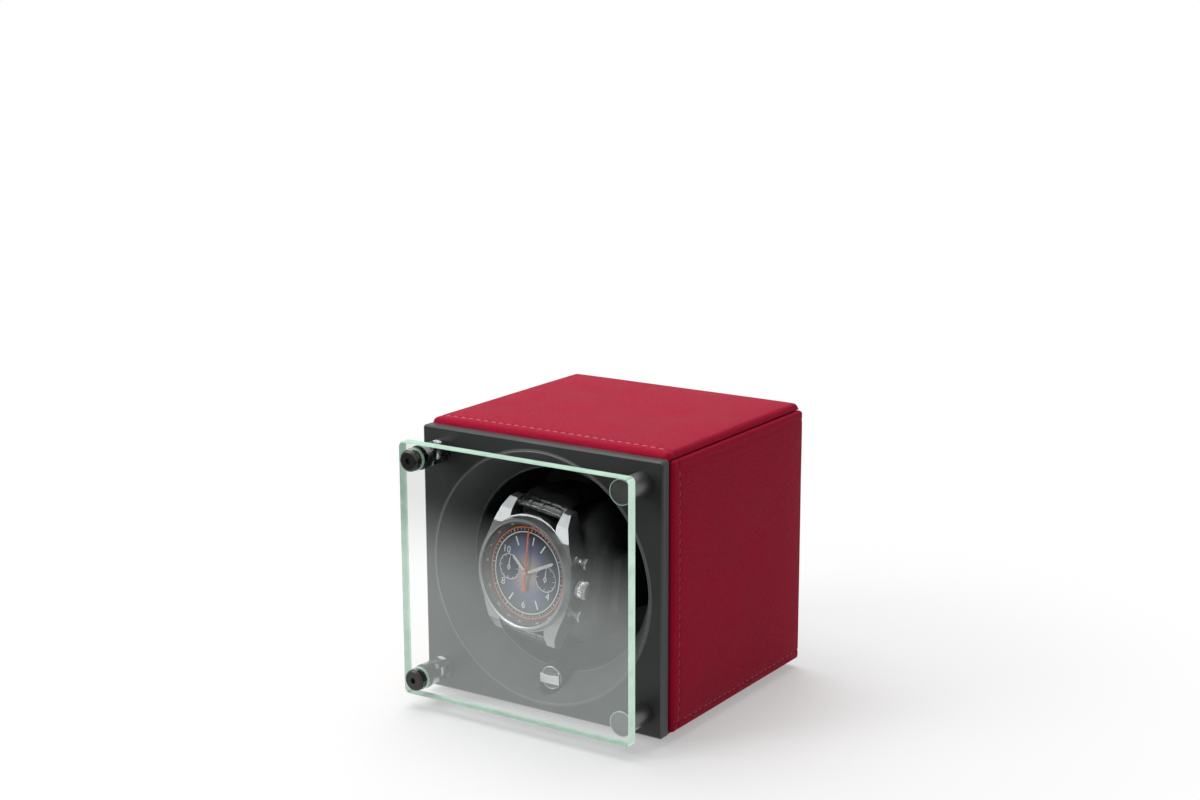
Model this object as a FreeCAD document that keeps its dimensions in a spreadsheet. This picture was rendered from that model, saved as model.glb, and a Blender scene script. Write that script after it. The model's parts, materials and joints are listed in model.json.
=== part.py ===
"""Watch winder box: a leather-clad cube with a glass door, a turning cup and a wrist watch on a cushion.

Millimetres. X is to the right, the front faces -Y, +Z is up, and the origin is the middle of the footprint.
"""
import FreeCAD, Part
import math
import os
import re
import Sketcher
from FreeCAD import Placement, Rotation, Vector

doc = FreeCAD.newDocument("WatchWinder")
sheet = doc.addObject("Spreadsheet::Sheet", "Sizes")
layout = doc.addObject("App::VarSet", "Layout")

# Driving dimensions
SIZES = {
    "foot_height": 1.5, "foot_dia": 10, "foot_inset": 14,
    "overhang_wide": 1.2, "overhang_high": 1,
    "side_thick": 2.6, "top_thick": 3, "top_step": 1.8, "panel_round": 1.1, "seam_gap": 0.15,
    "core_wall": 2.6, "nose_inset": 0.6, "ledge_width": 2, "ledge_depth": 2, "boss_dia": 7.2,
    "boss_inset": 3,
    "rim_wide": 5, "rim_high": 3.5, "plate_thick": 4, "plate_corner": 1.2, "plate_edge": 0.6,
    "shadow_gap": 1.2,
    "funnel_flare": 8, "lip_thick": 0.9, "funnel_depth": 13, "funnel_wall": 1.2, "funnel_clear": 0.5,
    "cup_dia": 73, "throat_margin": 0.5, "cup_wall": 2, "cup_floor": 3, "cup_length": 37.4,
    "run_gap": 0.6,
    "shaft_dia": 6, "shaft_tail": 3.5, "bush_dia": 9, "bush_flange_dia": 12, "bush_flange_thick": 1,
    "bush_clear": 0.04, "bush_gap": 0.2, "clip_dia": 10, "clip_thick": 0.8, "clip_gap": 0.3,
    "clip_mouth": 4.8,
    "gear_module": 0.8, "gear_teeth": 56, "pinion_teeth": 14, "gear_width": 5, "pressure_angle": 25,
    "addendum_ratio": 0.95, "tooth_backlash": 0.12, "tip_clear": 0.2, "lean_teeth": 5,
    "hub_dia": 14, "hub_length": 1, "web_dia": 36, "web_thick": 2.4, "bulkhead_thick": 3,
    "thrust_gap": 0.5,
    "motor_dia": 24, "motor_gearbox": 8, "can_dia": 20, "can_length": 13, "motor_boss_dia": 7,
    "motor_tail": 1.5,
    "motor_room": 8.1, "motor_shaft_dia": 3, "motor_shaft_in": 6, "shaft_end_gap": 0.5,
    "motor_screw_dia": 2.5,
    "motor_screw_reach": 9, "motor_screw_in": 4, "motor_screw_head": 4.2, "motor_screw_head_thick": 1,
    "board_width": 28, "board_height": 32, "board_thick": 1.6, "board_standoff": 4, "board_side_gap": 2,
    "board_boss_gap": 2.3, "standoff_dia": 4, "standoff_inset": 3, "chip_width": 9.4, "chip_thick": 1.6,
    "capacitor_dia": 5.6, "capacitor_height": 8, "capacitor_inset": 6, "plug_width": 9.4,
    "plug_height": 4,
    "plug_depth": 5, "plug_inset": 5,
    "back_thick": 2.5, "back_recess": 1, "back_clear": 0.15, "back_screw_dia": 2.6, "back_screw_head": 5,
    "back_screw_length": 9, "screw_end_gap": 0.4,
    "cell_dia": 14.3, "cell_length": 50, "cell_gap": 1.1, "cell_room": 1.15, "cell_lift": 0.2,
    "cell_headroom": 2,
    "cell_nub_dia": 5.4, "cell_nub": 1, "nub_root": 1, "contact_room": 3, "contact_thick": 0.5,
    "contact_width": 11,
    "contact_clear": 0.1, "bay_margin": 3.9, "tray_wall": 2, "tray_floor": 1.5, "tray_ledge": 1,
    "cover_clear": 0.3, "cover_gap": 0.1, "notch_width": 14, "notch_height": 5.6, "notch_depth": 1,
    "inlet_side": 15, "inlet_top": 21.9, "inlet_dia": 9, "inlet_flange_dia": 12,
    "inlet_flange_thick": 0.8,
    "inlet_bore": 6, "inlet_pin": 2, "inlet_depth": 9, "inlet_length": 13, "inlet_pin_short": 1,
    "glass_inset": 2.25, "glass_thick": 4, "glass_corner": 2, "glass_edge": 0.4, "glass_hole_dia": 5.2,
    "post_inset_wide": 5.85, "post_inset_high": 6.15, "post_dia": 8.4, "post_screw_dia": 3,
    "post_screw_head": 5.4,
    "post_screw_head_thick": 1.6, "post_thread": 1.9, "door_clear": 0.75, "hinge_clear": 0.2,
    "fork_round": 2.6, "tongue_round": 2.5, "tongue_thick": 3, "fork_gap": 0.15, "cheek_thick": 2,
    "hinge_shoulder": 3.1, "drum_length": 2.2, "pin_dia": 1.8, "pin_clear": 0.05, "pin_short": 0.1,
    "ring_thick": 0.8, "ring_lip": 0.15, "cap_dia": 7.8, "cap_height": 2, "cap_round": 0.9,
    "cap_shank_dia": 4,
    "cap_shank_in": 1.9, "socket_dia": 1.8, "lobe_dia": 0.75, "lobe_place": 0.875, "socket_depth": 1,
    "disc_thick": 1, "catch_gap": 0.2, "magnet_dia": 5, "magnet_length": 3,
    "knob_dia": 9, "knob_proud": 2.9, "knob_clear": 0.3, "knob_back_gap": 0.9, "knob_edge": 0.3,
    "knob_skin": 0.8,
    "knob_poke": 4, "pocket_wall": 0.5, "pocket_length": 3.4, "pocket_floor": 1.4, "pocket_inset": 0.2,
    "spindle_dia": 2.4, "spindle_gap": 0.2,
    "grip_width": 8, "grip_height": 3.6, "grip_waist": 3, "grip_proud": 1.8, "grip_slope": 0.8,
    "grip_crest": 0.05,
    "watch_x": -1.6, "watch_z": 3.15, "watch_out": 5, "watch_yaw": -4.7, "watch_tilt": -4.3,
    "watch_roll": 5.6,
    "case_dia": 41, "case_front": 0.6, "case_depth": 6, "back_inset": 2, "back_height": 1.5,
    "seat_gap": 0.2,
    "bezel_inset": 0.5, "bezel_wall": 1.7, "bezel_height": 2.6, "bezel_lip": 0.3, "bezel_bevel": 0.5,
    "bezel_land": 0.6, "bezel_skirt": 0.9, "bezel_lean": 0.2,
    "crystal_thick": 1, "crystal_rise": 0.5, "crystal_sink": 0.2, "glaze_gap": 0.05,
    "lug_reach": 4.25, "lug_clear": 0.2, "lug_wall": 3.2, "lug_below": 0.6, "lug_root_in": 12.3,
    "lug_flank_in": 1.2,
    "lug_fall_in": 5.7, "lug_bend_in": 0.4, "lug_bend_drop": 0.9, "lug_nose_drop": 3.4,
    "lug_nose_in": 0.9,
    "lug_toe_drop": 5.8, "lug_throat": 4.55, "bar_out": 1.8, "bar_depth": 4.2, "bar_dia": 1.4,
    "bar_reach": 0.8,
    "dial_thick": 0.5, "dial_under": 0.4, "rehaut_height": 1.3, "rehaut_wide": 1.6, "rehaut_gap": 0.1,
    "counter_place": 8.2, "counter_dia": 9.2, "counter_sink": 0.2, "counter_arbor_dia": 0.6,
    "counter_arbor_height": 0.45, "counter_hand_thick": 0.15, "counter_hand_lift": 0.25,
    "counter_length": 3.4, "counter_tail": 1.2, "counter_width": 0.44, "counter_hub": 1.5,
    "counter_point": 0.5,
    "arbor_dia": 1.4, "arbor_tip": 0.2, "hand_thick": 0.2, "hand_gap": 0.15, "hand_clear": 0.05,
    "hand_point": 1,
    "hour_length": 8.4, "hour_tail": 1.6, "hour_width": 1.2, "hour_hub": 2.6, "hour_angle": 305,
    "minute_length": 13.4, "minute_tail": 1.8, "minute_width": 1.1, "minute_hub": 2.4, "minute_angle": 60,
    "sweep_length": 15.8, "sweep_tail": 6.4, "sweep_width": 0.6, "sweep_hub": 2.2, "sweep_angle": 358,
    "weight_width": 1.5, "weight_length": 2.6,
    "crown_dia": 6.4, "crown_length": 4, "crown_gap": 0.5, "crown_inner_edge": 0.4,
    "crown_outer_edge": 0.6,
    "crown_stem": 1.6, "stem_length": 4, "stem_end_gap": 0.3,
    "pusher_rise": 9.3, "pusher_depth": 3, "pusher_dia": 4.6, "pusher_cap": 2.6, "pusher_neck": 2,
    "pusher_out": 2.8,
    "pusher_stem": 2.6, "pusher_travel": 1, "pusher_flare": 0.4, "pusher_rim": 0.5, "pusher_edge": 0.3,
    "collar_dia": 3.4, "collar_out": 1, "collar_root": 4,
    "strap_width": 20, "strap_thick": 2.6, "strap_swell": 4.1, "strap_tail": 1.4,
    "strap_front_run": 9.5, "strap_gap": 0.3, "clasp_height": 20, "clasp_width": 18, "clasp_round": 0.65,
    "cushion_width": 47, "cushion_flat": 4.6, "cushion_bulge": 0.8, "cushion_end_drop": 8.4,
    "cushion_end_in": 4.5, "cushion_ease": 0.6,
    "channel_margin": 0.6, "channel_slope": 2.2,
    "arm_thick": 3, "arm_height": 20, "arm_front": 15, "arm_round": 5, "arm_sink": 0.5,
    "cradle_base": 2.5,
    "cradle_inset": 5.5,
}

# Sizes and places that follow from the driving dimensions
PLACES = {
    "throat_dia": "cup_dia + 2 * throat_margin",
    "bowl_dia": "throat_dia + 2 * funnel_flare",
    "plate_width": "bowl_dia + 2 * rim_wide",
    "plate_height": "bowl_dia + 2 * rim_high",
    "box_width": "plate_width + 2 * overhang_wide",
    "box_height": "plate_height + 2 * overhang_high",
    "glass_width": "plate_width - 2 * glass_inset",
    "glass_height": "plate_height - 2 * glass_inset",
    "post_x": "glass_width / 2 - post_inset_wide",
    "post_rise": "glass_height - 2 * post_inset_high",
    "pivot_reach": "post_inset_wide + door_clear",
    "hinge_base": "pivot_reach - post_dia / 2 - hinge_clear",
    "post_length": "pivot_reach + hinge_shoulder + drum_length + ring_thick",
    "bowl_slope": "funnel_flare / funnel_depth",
    "drive_depth": "funnel_depth + run_gap + cup_length + hub_length + gear_width + thrust_gap"
                   " + bush_flange_thick",
    "motor_depth": "bulkhead_thick + motor_gearbox + can_length + motor_tail + motor_room",
    "sleeve_depth": "drive_depth + motor_depth + back_thick + back_recess - plate_thick - shadow_gap",
    "total_depth": "cap_height + glass_thick + post_length + plate_thick + shadow_gap + sleeve_depth",
    "glass_front": "cap_height - total_depth / 2",
    "glass_back": "glass_front + glass_thick",
    "plate_front": "glass_back + post_length",
    "plate_back": "plate_front + plate_thick",
    "sleeve_front": "plate_back + shadow_gap",
    "sleeve_back": "sleeve_front + sleeve_depth",
    "mid_z": "foot_height + box_height / 2",
    "core_width": "box_width - 2 * side_thick",
    "core_height": "box_height - 2 * top_thick",
    "inner_width": "core_width - 2 * core_wall",
    "inner_height": "core_height - 2 * core_wall",
    "post_low": "mid_z - post_rise / 2",
    "post_high": "mid_z + post_rise / 2",
    "pivot_y": "plate_front - pivot_reach",
    "cup_front": "plate_front + funnel_depth + run_gap",
    "cup_back": "cup_front + cup_length",
    "gear_front": "cup_back + hub_length",
    "gear_back": "gear_front + gear_width",
    "bulkhead_front": "gear_back + thrust_gap + bush_flange_thick",
    "bulkhead_back": "bulkhead_front + bulkhead_thick",
    "clip_front": "bulkhead_back + bush_flange_thick + clip_gap",
    "shaft_back": "clip_front + clip_thick + shaft_tail",
    "gear_pitch": "gear_module * gear_teeth / 2",
    "pinion_pitch": "gear_module * pinion_teeth / 2",
    "motor_lean": "lean_teeth * 360 / gear_teeth",
    "motor_x": "-(gear_pitch + pinion_pitch) * sin(motor_lean)",
    "motor_z": "mid_z + (gear_pitch + pinion_pitch) * cos(motor_lean)",
    "inlet_x": "inner_width / 2 - inlet_side",
    "inlet_z": "inner_height / 2 - inlet_top",
    "back_rear": "sleeve_back - back_recess",
    "back_front": "back_rear - back_thick",
    "boss_x": "inner_width / 2 - boss_inset",
    "boss_z": "inner_height / 2 - boss_inset",
    "board_x": "inner_width / 2 - board_side_gap - board_width / 2",
    "board_z": "mid_z + boss_z - boss_dia / 2 - board_boss_gap - board_height / 2",
    "cell_pitch": "cell_dia + cell_gap",
    "bay_width": "cell_length + 2 * contact_room + 2 * tray_ledge",
    "bay_height": "cell_pitch + cell_dia + 2 * cell_room + 2 * tray_ledge",
    "bay_drop": "inner_height / 2 - bay_margin - bay_height / 2",
    "bay_z": "mid_z - bay_drop",
    "tray_depth": "tray_floor + cell_lift + cell_dia + cell_headroom",
    "cell_y": "back_front - tray_depth + tray_floor + cell_lift + cell_dia / 2",
    "pocket_dia": "knob_dia + 2 * knob_clear",
    "housing_dia": "pocket_dia + 2 * pocket_wall",
    "pocket_rear": "funnel_depth - pocket_inset",
    "pocket_front": "pocket_rear - pocket_length",
    "knob_face": "pocket_front - knob_proud",
    "knob_length": "knob_proud + pocket_length - pocket_floor - knob_back_gap",
    "knob_drop": "throat_dia / 2 - knob_poke + housing_dia / 2",
    "knob_z": "mid_z - knob_drop",
    "watch_y": "plate_front - watch_out",
    "bezel_dia": "case_dia - 2 * bezel_inset",
    "bezel_bore": "bezel_dia - 2 * bezel_wall",
    "bezel_top": "-case_front - bezel_height",
    "crystal_back": "bezel_top + crystal_sink + crystal_thick",
    "dial_dia": "bezel_bore + 2 * dial_under",
    "rehaut_bore": "bezel_bore - 2 * rehaut_wide",
    "back_dia": "case_dia - 2 * back_inset",
    "lug_gap": "strap_width + 2 * lug_clear",
    "lug_tip": "lug_gap + 2 * lug_wall",
    "lug_end": "case_dia / 2 + lug_reach",
    "bar_place": "case_dia / 2 + bar_out",
    "hand_base": "counter_arbor_height - counter_sink",
    "arbor_height": "hand_base + 3 * (hand_thick + hand_gap) + arbor_tip",
    "pusher_flank": "sqrt(case_dia ^ 2 / 4 - pusher_rise ^ 2)",
    "strap_rise": "bar_place + strap_swell",
    "strap_corner": "strap_rise - clasp_height / 2 - strap_tail",
    "cushion_corner": "strap_corner - strap_thick / 2 - strap_gap + cushion_ease",
    "cushion_front": "case_depth + back_height + strap_gap",
    "cushion_rear": "cushion_front + 2 * cushion_corner + cushion_flat",
    "strap_rear": "cushion_rear + strap_gap + strap_thick / 2",
    "cradle_base_dia": "cup_dia - 2 * cradle_inset",
}


def fill_sheet():
    """Write every size into the spreadsheet and every place into the variable set."""
    for row, (alias, value) in enumerate(SIZES.items(), start=1):
        sheet.set(f"A{row}", alias)
        sheet.set(f"B{row}", str(value))
        sheet.setAlias(f"B{row}", alias)
    doc.recompute()
    for name, text in PLACES.items():
        layout.addProperty("App::PropertyFloat", name, "Places")
        layout.setExpression(name, bound(text))
    doc.recompute()


def bound(text):
    """Turn plain size and place names into references to the sheet and the variable set."""
    def swap(match):
        word = match.group(0)
        if word in SIZES:
            return "Sizes." + word
        return "Layout." + word if word in PLACES else word
    return re.sub(r"[a-z_][a-z0-9_]*", swap, str(text))


def val(text):
    """Number that an expression over sizes and places stands for."""
    def number(match):
        word = match.group(0)
        if word in SIZES:
            return repr(float(sheet.get(word)))
        return repr(float(getattr(layout, word))) if word in PLACES else word
    return float(FreeCAD.Units.parseQuantity(re.sub(r"[a-z_][a-z0-9_]*", number, str(text))).Value)


fill_sheet()

watch_turn = (Rotation(Vector(0, 0, 1), val("watch_yaw")) * Rotation(Vector(1, 0, 0), val("watch_tilt"))
              * Rotation(Vector(0, 1, 0), val("watch_roll")))
PARTS = []


def keep(piece, label):
    """Name a finished sub-part, which also names its file."""
    piece.Label = label
    PARTS.append(piece)
    return piece


def put(piece, x="0", y="0", z="0", turn=None):
    """Place an object by expressions, with an optional turn."""
    if turn is not None:
        piece.Placement = Placement(Vector(), turn)
    for axis, text in zip("xyz", (x, y, z)):
        piece.setExpression("Placement.Base." + axis, bound(text))
    return piece


def put_on_watch(piece, spin=0.0):
    """Place an object in the frame of the watch's dial, turned clockwise by spin degrees about its arbor."""
    return put(piece, "watch_x", "watch_y", "mid_z + watch_z", watch_turn * Rotation(Vector(0, 1, 0), spin))


def body(name):
    return doc.addObject("PartDesign::Body", name)


PLANES = {"x": "YZ_Plane", "y": "XZ_Plane", "z": "XY_Plane"}


def sketch(owner, normal, start):
    """Empty sketch square to an axis of the body, at a distance along that axis."""
    made = owner.newObject("Sketcher::SketchObject", owner.Name + "Sketch")
    plane = next(f for f in owner.Origin.OriginFeatures if f.Role == PLANES[normal])
    made.AttachmentSupport = [(plane, "")]
    made.MapMode = "FlatFace"
    made.setExpression("AttachmentOffset.Base.z", bound(f"-({start})" if normal == "y" else start))
    return made


def pin_down(made, geo, pos, across, up):
    """Hold a sketch point at two expressions measured from the sketch's origin."""
    for kind, text, axis in (("DistanceX", across, -2), ("DistanceY", up, -1)):
        if abs(val(text)) < 1e-9:
            made.addConstraint(Sketcher.Constraint("PointOnObject", geo, pos, axis))
        else:
            row = made.addConstraint(Sketcher.Constraint(kind, -1, 1, geo, pos, val(text)))
            made.setExpression(f"Constraints[{row}]", bound(text))


def outline(made, points):
    """Closed outline of straight lines through points given as pairs of expressions."""
    first = made.GeometryCount
    spots = [Vector(val(a), val(b), 0) for a, b in points]
    count = len(points)
    for i in range(count):
        made.addGeometry(Part.LineSegment(spots[i], spots[(i + 1) % count]), False)
    for i in range(count):
        made.addConstraint(Sketcher.Constraint("Coincident", first + i, 2, first + (i + 1) % count, 1))
    for i, (a, b) in enumerate(points):
        pin_down(made, first + i, 1, a, b)


def oblong(made, width, height, across="0", up="0"):
    """Rectangle about a centre."""
    west, east = f"({across}) - ({width}) / 2", f"({across}) + ({width}) / 2"
    low, high = f"({up}) - ({height}) / 2", f"({up}) + ({height}) / 2"
    outline(made, [(west, low), (east, low), (east, high), (west, high)])


def circle(made, dia, across="0", up="0"):
    geo = made.addGeometry(Part.Circle(Vector(val(across), val(up), 0), Vector(0, 0, 1), val(dia) / 2), False)
    pin_down(made, geo, 3, across, up)
    row = made.addConstraint(Sketcher.Constraint("Diameter", geo, val(dia)))
    made.setExpression(f"Constraints[{row}]", bound(dia))


def feature(owner, kind, profile, length):
    made = owner.newObject("PartDesign::" + kind, owner.Name + kind)
    made.Profile = profile
    made.setExpression("Length", bound(length))
    return made


def pad(owner, normal, start, length, draw):
    """Pad a drawn profile from start along the axis; draw is called with the sketch."""
    profile = sketch(owner, normal, start)
    draw(profile)
    made = feature(owner, "Pad", profile, length)
    made.Reversed = normal == "y"
    doc.recompute()
    return made


def pocket(owner, normal, start, length, draw):
    """Cut a drawn profile out of the body from start along the axis."""
    profile = sketch(owner, normal, start)
    draw(profile)
    made = feature(owner, "Pocket", profile, length)
    made.Reversed = normal != "y"
    doc.recompute()
    return made


def spun(owner, points, axis="V_Axis", cut=False):
    """Turn an outline about the body's Y axis (points are radius, y) or its X axis (points are x, radius)."""
    profile = sketch(owner, "z", "0")
    outline(profile, points)
    made = owner.newObject("PartDesign::" + ("Groove" if cut else "Revolution"), owner.Name + "Turned")
    made.Profile = profile
    made.ReferenceAxis = (profile, [axis])
    made.Angle = 360
    doc.recompute()
    return made


def edges(shape, wanted):
    return [f"Edge{i}" for i, edge in enumerate(shape.Edges, start=1) if wanted(edge)]


def soften(owner, kind, amount, wanted):
    """Fillet or chamfer the edges of a body that a test picks."""
    tip = owner.Tip
    made = owner.newObject("PartDesign::" + kind, owner.Name + kind)
    made.Base = (tip, edges(tip.Shape, wanted))
    made.setExpression("Radius" if kind == "Fillet" else "Size", bound(amount))
    doc.recompute()
    return made


def along(edge, axis):
    """True for a straight edge parallel to an axis."""
    if edge.Curve.TypeId != "Part::GeomLine":
        return False
    return abs(abs(edge.tangentAt(edge.FirstParameter).dot(axis)) - 1) < 1e-6


def at_y(edge, y):
    return all(abs(v.Point.y - y) < 1e-6 for v in edge.Vertexes)


def rod(name, dia, length, x, y, z, direction):
    """Cylinder from a point along +X, +Y, -Y or +Z."""
    made = doc.addObject("Part::Cylinder", name)
    made.setExpression("Radius", bound(f"({dia}) / 2"))
    made.setExpression("Height", bound(length))
    turns = {"+X": Rotation(Vector(0, 1, 0), 90), "+Y": Rotation(Vector(1, 0, 0), -90),
             "-Y": Rotation(Vector(1, 0, 0), 90), "+Z": Rotation()}
    return put(made, x, y, z, turns[direction])


def block(name, wide, deep, high, x, y, z):
    """Box by its size, the middle of its width, its front and the middle of its height."""
    made = doc.addObject("Part::Box", name)
    for prop, text in (("Length", wide), ("Width", deep), ("Height", high)):
        made.setExpression(prop, bound(text))
    return put(made, f"({x}) - ({wide}) / 2", y, f"({z}) - ({high}) / 2")


def fuse(name, pieces):
    if len(pieces) == 1:
        return pieces[0]
    made = doc.addObject("Part::MultiFuse", name)
    made.Shapes = pieces
    return made


def cut(name, base, tools):
    made = doc.addObject("Part::Cut", name)
    made.Base = base
    made.Tool = fuse(name + "Tools", tools)
    return made


def common(name, one, other):
    made = doc.addObject("Part::Common", name)
    made.Base = one
    made.Tool = other
    return made


def group(name, pieces):
    """Several separate solids in one node."""
    made = doc.addObject("Part::Compound", name)
    made.Links = pieces
    return made


def plain(name, shape):
    """Shape made by formula, for forms that no primitive or sketch gives."""
    made = doc.addObject("Part::Feature", name)
    made.Shape = shape
    return made


def rounded(name, base, radius, wanted):
    """Fillet of a Part object on the edges that a test picks."""
    doc.recompute()
    made = doc.addObject("Part::Fillet", name)
    made.Base = base
    size = val(radius)
    made.Edges = [(i, size, size) for i, edge in enumerate(base.Shape.Edges, start=1) if wanted(edge)]
    return made


CORNERS = [(sx, sz) for sx in (-1, 1) for sz in (-1, 1)]


def make_panels():
    """Four leather-wrapped boards; the sides stand a step short of the top and bottom boards' faces."""
    flat_wide = "core_width - 2 * seam_gap"
    side_high = "box_height - 2 * top_step"
    for label, z, outer in (("top_panel", "mid_z + core_height / 2 + top_thick / 2", 1),
                            ("bottom_panel", "mid_z - core_height / 2 - top_thick / 2", -1)):
        board = block(label + "_board", flat_wide, "sleeve_depth", "top_thick", "0", "sleeve_front", z)
        face = val(z) + outer * val("top_thick") / 2
        keep(rounded(label, board, "panel_round",
                     lambda e: all(abs(v.Z - face) < 1e-6 for v in e.Vertexes)), label)
    for label, sign in (("left_panel", -1), ("right_panel", 1)):
        x = f"{sign} * (core_width + side_thick) / 2"
        board = block(label + "_board", "side_thick", "sleeve_depth", side_high, x, "sleeve_front", "mid_z")
        face = sign * val("box_width") / 2
        keep(rounded(label, board, "panel_round",
                     lambda e: all(abs(v.X - face) < 1e-6 for v in e.Vertexes)), label)


def make_core():
    """Rigid sleeve under the leather, with a nose, a ledge for the bulkhead and screw bosses."""
    outer = block("CoreOuter", "core_width", "sleeve_depth", "core_height", "0", "sleeve_front", "mid_z")
    nose = block("CoreNose", "core_width - 2 * nose_inset", "shadow_gap", "core_height - 2 * nose_inset",
                 "0", "plate_back", "mid_z")
    hollow = block("CoreHollow", "inner_width", "sleeve_depth + shadow_gap", "inner_height",
                   "0", "plate_back", "mid_z")
    room = rod("FunnelRoom", "bowl_dia + 2 * (funnel_wall + funnel_clear - bowl_slope * plate_thick)",
               "funnel_depth",
               "0", "plate_back", "mid_z", "+Y")
    sleeve = cut("CoreSleeve", fuse("CoreBlank", [outer, nose]), [hollow, room])
    ledge = cut("CoreLedge",
                block("LedgeOuter", "inner_width", "ledge_depth", "inner_height",
                      "0", "bulkhead_front - ledge_depth", "mid_z"),
                [block("LedgeInner", "inner_width - 2 * ledge_width", "ledge_depth",
                       "inner_height - 2 * ledge_width",
                       "0", "bulkhead_front - ledge_depth", "mid_z")])
    bosses = []
    for i, (sx, sz) in enumerate(CORNERS):
        x, z = f"{sx} * boss_x", f"mid_z + {sz} * boss_z"
        boss = rod(f"Boss{i}", "boss_dia", "back_front - bulkhead_back", x, "bulkhead_back", z, "+Y")
        limit = block(f"BossLimit{i}", "core_wall + inner_width / 2", "sleeve_depth",
                      "core_wall + inner_height / 2",
                      f"{sx} * (core_wall + inner_width / 2) / 2", "sleeve_front",
                      f"mid_z + {sz} * (core_wall + inner_height / 2) / 2")
        bosses.append(common(f"BossInCore{i}", boss, limit))
    keep(cut("core_shell", fuse("CoreBody", [sleeve, ledge] + bosses),
             [rod(f"BossBore{i}", "back_screw_dia", "back_screw_length", f"{sx} * boss_x", "back_rear",
                  f"mid_z + {sz} * boss_z", "-Y") for i, (sx, sz) in enumerate(CORNERS)]), "core_shell")


def make_front():
    """Front plate with the bowl's mouth and the post screws' holes, and the funnel glued into it."""
    plate = body("Plate")
    pad(plate, "y", "0", "plate_thick", lambda s: oblong(s, "plate_width", "plate_height"))
    soften(plate, "Fillet", "plate_corner", lambda e: along(e, Vector(0, 1, 0)))
    soften(plate, "Chamfer", "plate_edge", lambda e: at_y(e, 0))

    def holes(s):
        circle(s, "bowl_dia + 2 * lip_thick")
        for sx, sz in CORNERS:
            circle(s, "post_screw_dia", f"{sx} * post_x", f"{sz} * post_rise / 2")
    pocket(plate, "y", "0", "plate_thick", holes)
    keep(put(plate, "0", "plate_front", "mid_z"), "front_plate")

    funnel = body("Funnel")
    spun(funnel, [("bowl_dia / 2", "0"), ("bowl_dia / 2 + lip_thick", "0"),
                  ("bowl_dia / 2 + lip_thick", "plate_thick"),
                  ("bowl_dia / 2 + funnel_wall - bowl_slope * plate_thick", "plate_thick"),
                  ("throat_dia / 2 + funnel_wall", "funnel_depth"), ("throat_dia / 2", "funnel_depth")])
    pocket(funnel, "y", "0", "funnel_depth",
           lambda s: circle(s, "housing_dia", "0", "-knob_drop"))
    keep(put(funnel, "0", "plate_front", "mid_z"), "bowl_funnel")


def make_selector():
    """Selector in a round pocket of the funnel: fixed housing with a spindle, turning knob and grip."""
    housing = body("Housing")
    pad(housing, "y", "pocket_front", "pocket_length", lambda s: circle(s, "housing_dia"))
    pocket(housing, "y", "pocket_front", "pocket_length - pocket_floor", lambda s: circle(s, "pocket_dia"))
    tip = "knob_face + knob_skin + spindle_gap"
    pad(housing, "y", tip, f"pocket_rear - ({tip})", lambda s: circle(s, "spindle_dia"))
    keep(put(housing, "0", "plate_front", "knob_z"), "selector_housing")

    knob = body("Knob")
    pad(knob, "y", "knob_face", "knob_length", lambda s: circle(s, "knob_dia"))
    soften(knob, "Chamfer", "knob_edge", lambda e: at_y(e, val("knob_face")))
    pocket(knob, "y", "knob_face + knob_skin", "knob_length", lambda s: circle(s,
                                                                               "spindle_dia + 2 * pin_clear"))
    keep(put(knob, "0", "plate_front", "knob_z"), "selector_knob")

    grip = body("Grip")
    half, tall, waist = "grip_width / 2", "grip_height / 2", "grip_waist / 2"

    def bow(s):
        outline(s, [("-" + half, "-" + tall), ("0", "-" + waist), (half, "-" + tall),
                    (half, tall), ("0", waist), ("-" + half, tall)])
    pad(grip, "y", "knob_face - grip_proud", "grip_proud", bow)

    def slopes(s):
        outline(s, [("-" + half, "knob_face - grip_proud"), (half, "knob_face - grip_proud"),
                    (half, "knob_face - grip_proud + grip_slope"),
                    ("0", "knob_face - grip_proud + grip_crest"),
                    ("-" + half, "knob_face - grip_proud + grip_slope")])
    pocket(grip, "z", "-grip_height", "2 * grip_height", slopes)
    keep(put(grip, "0", "plate_front", "knob_z"), "selector_grip")


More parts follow.
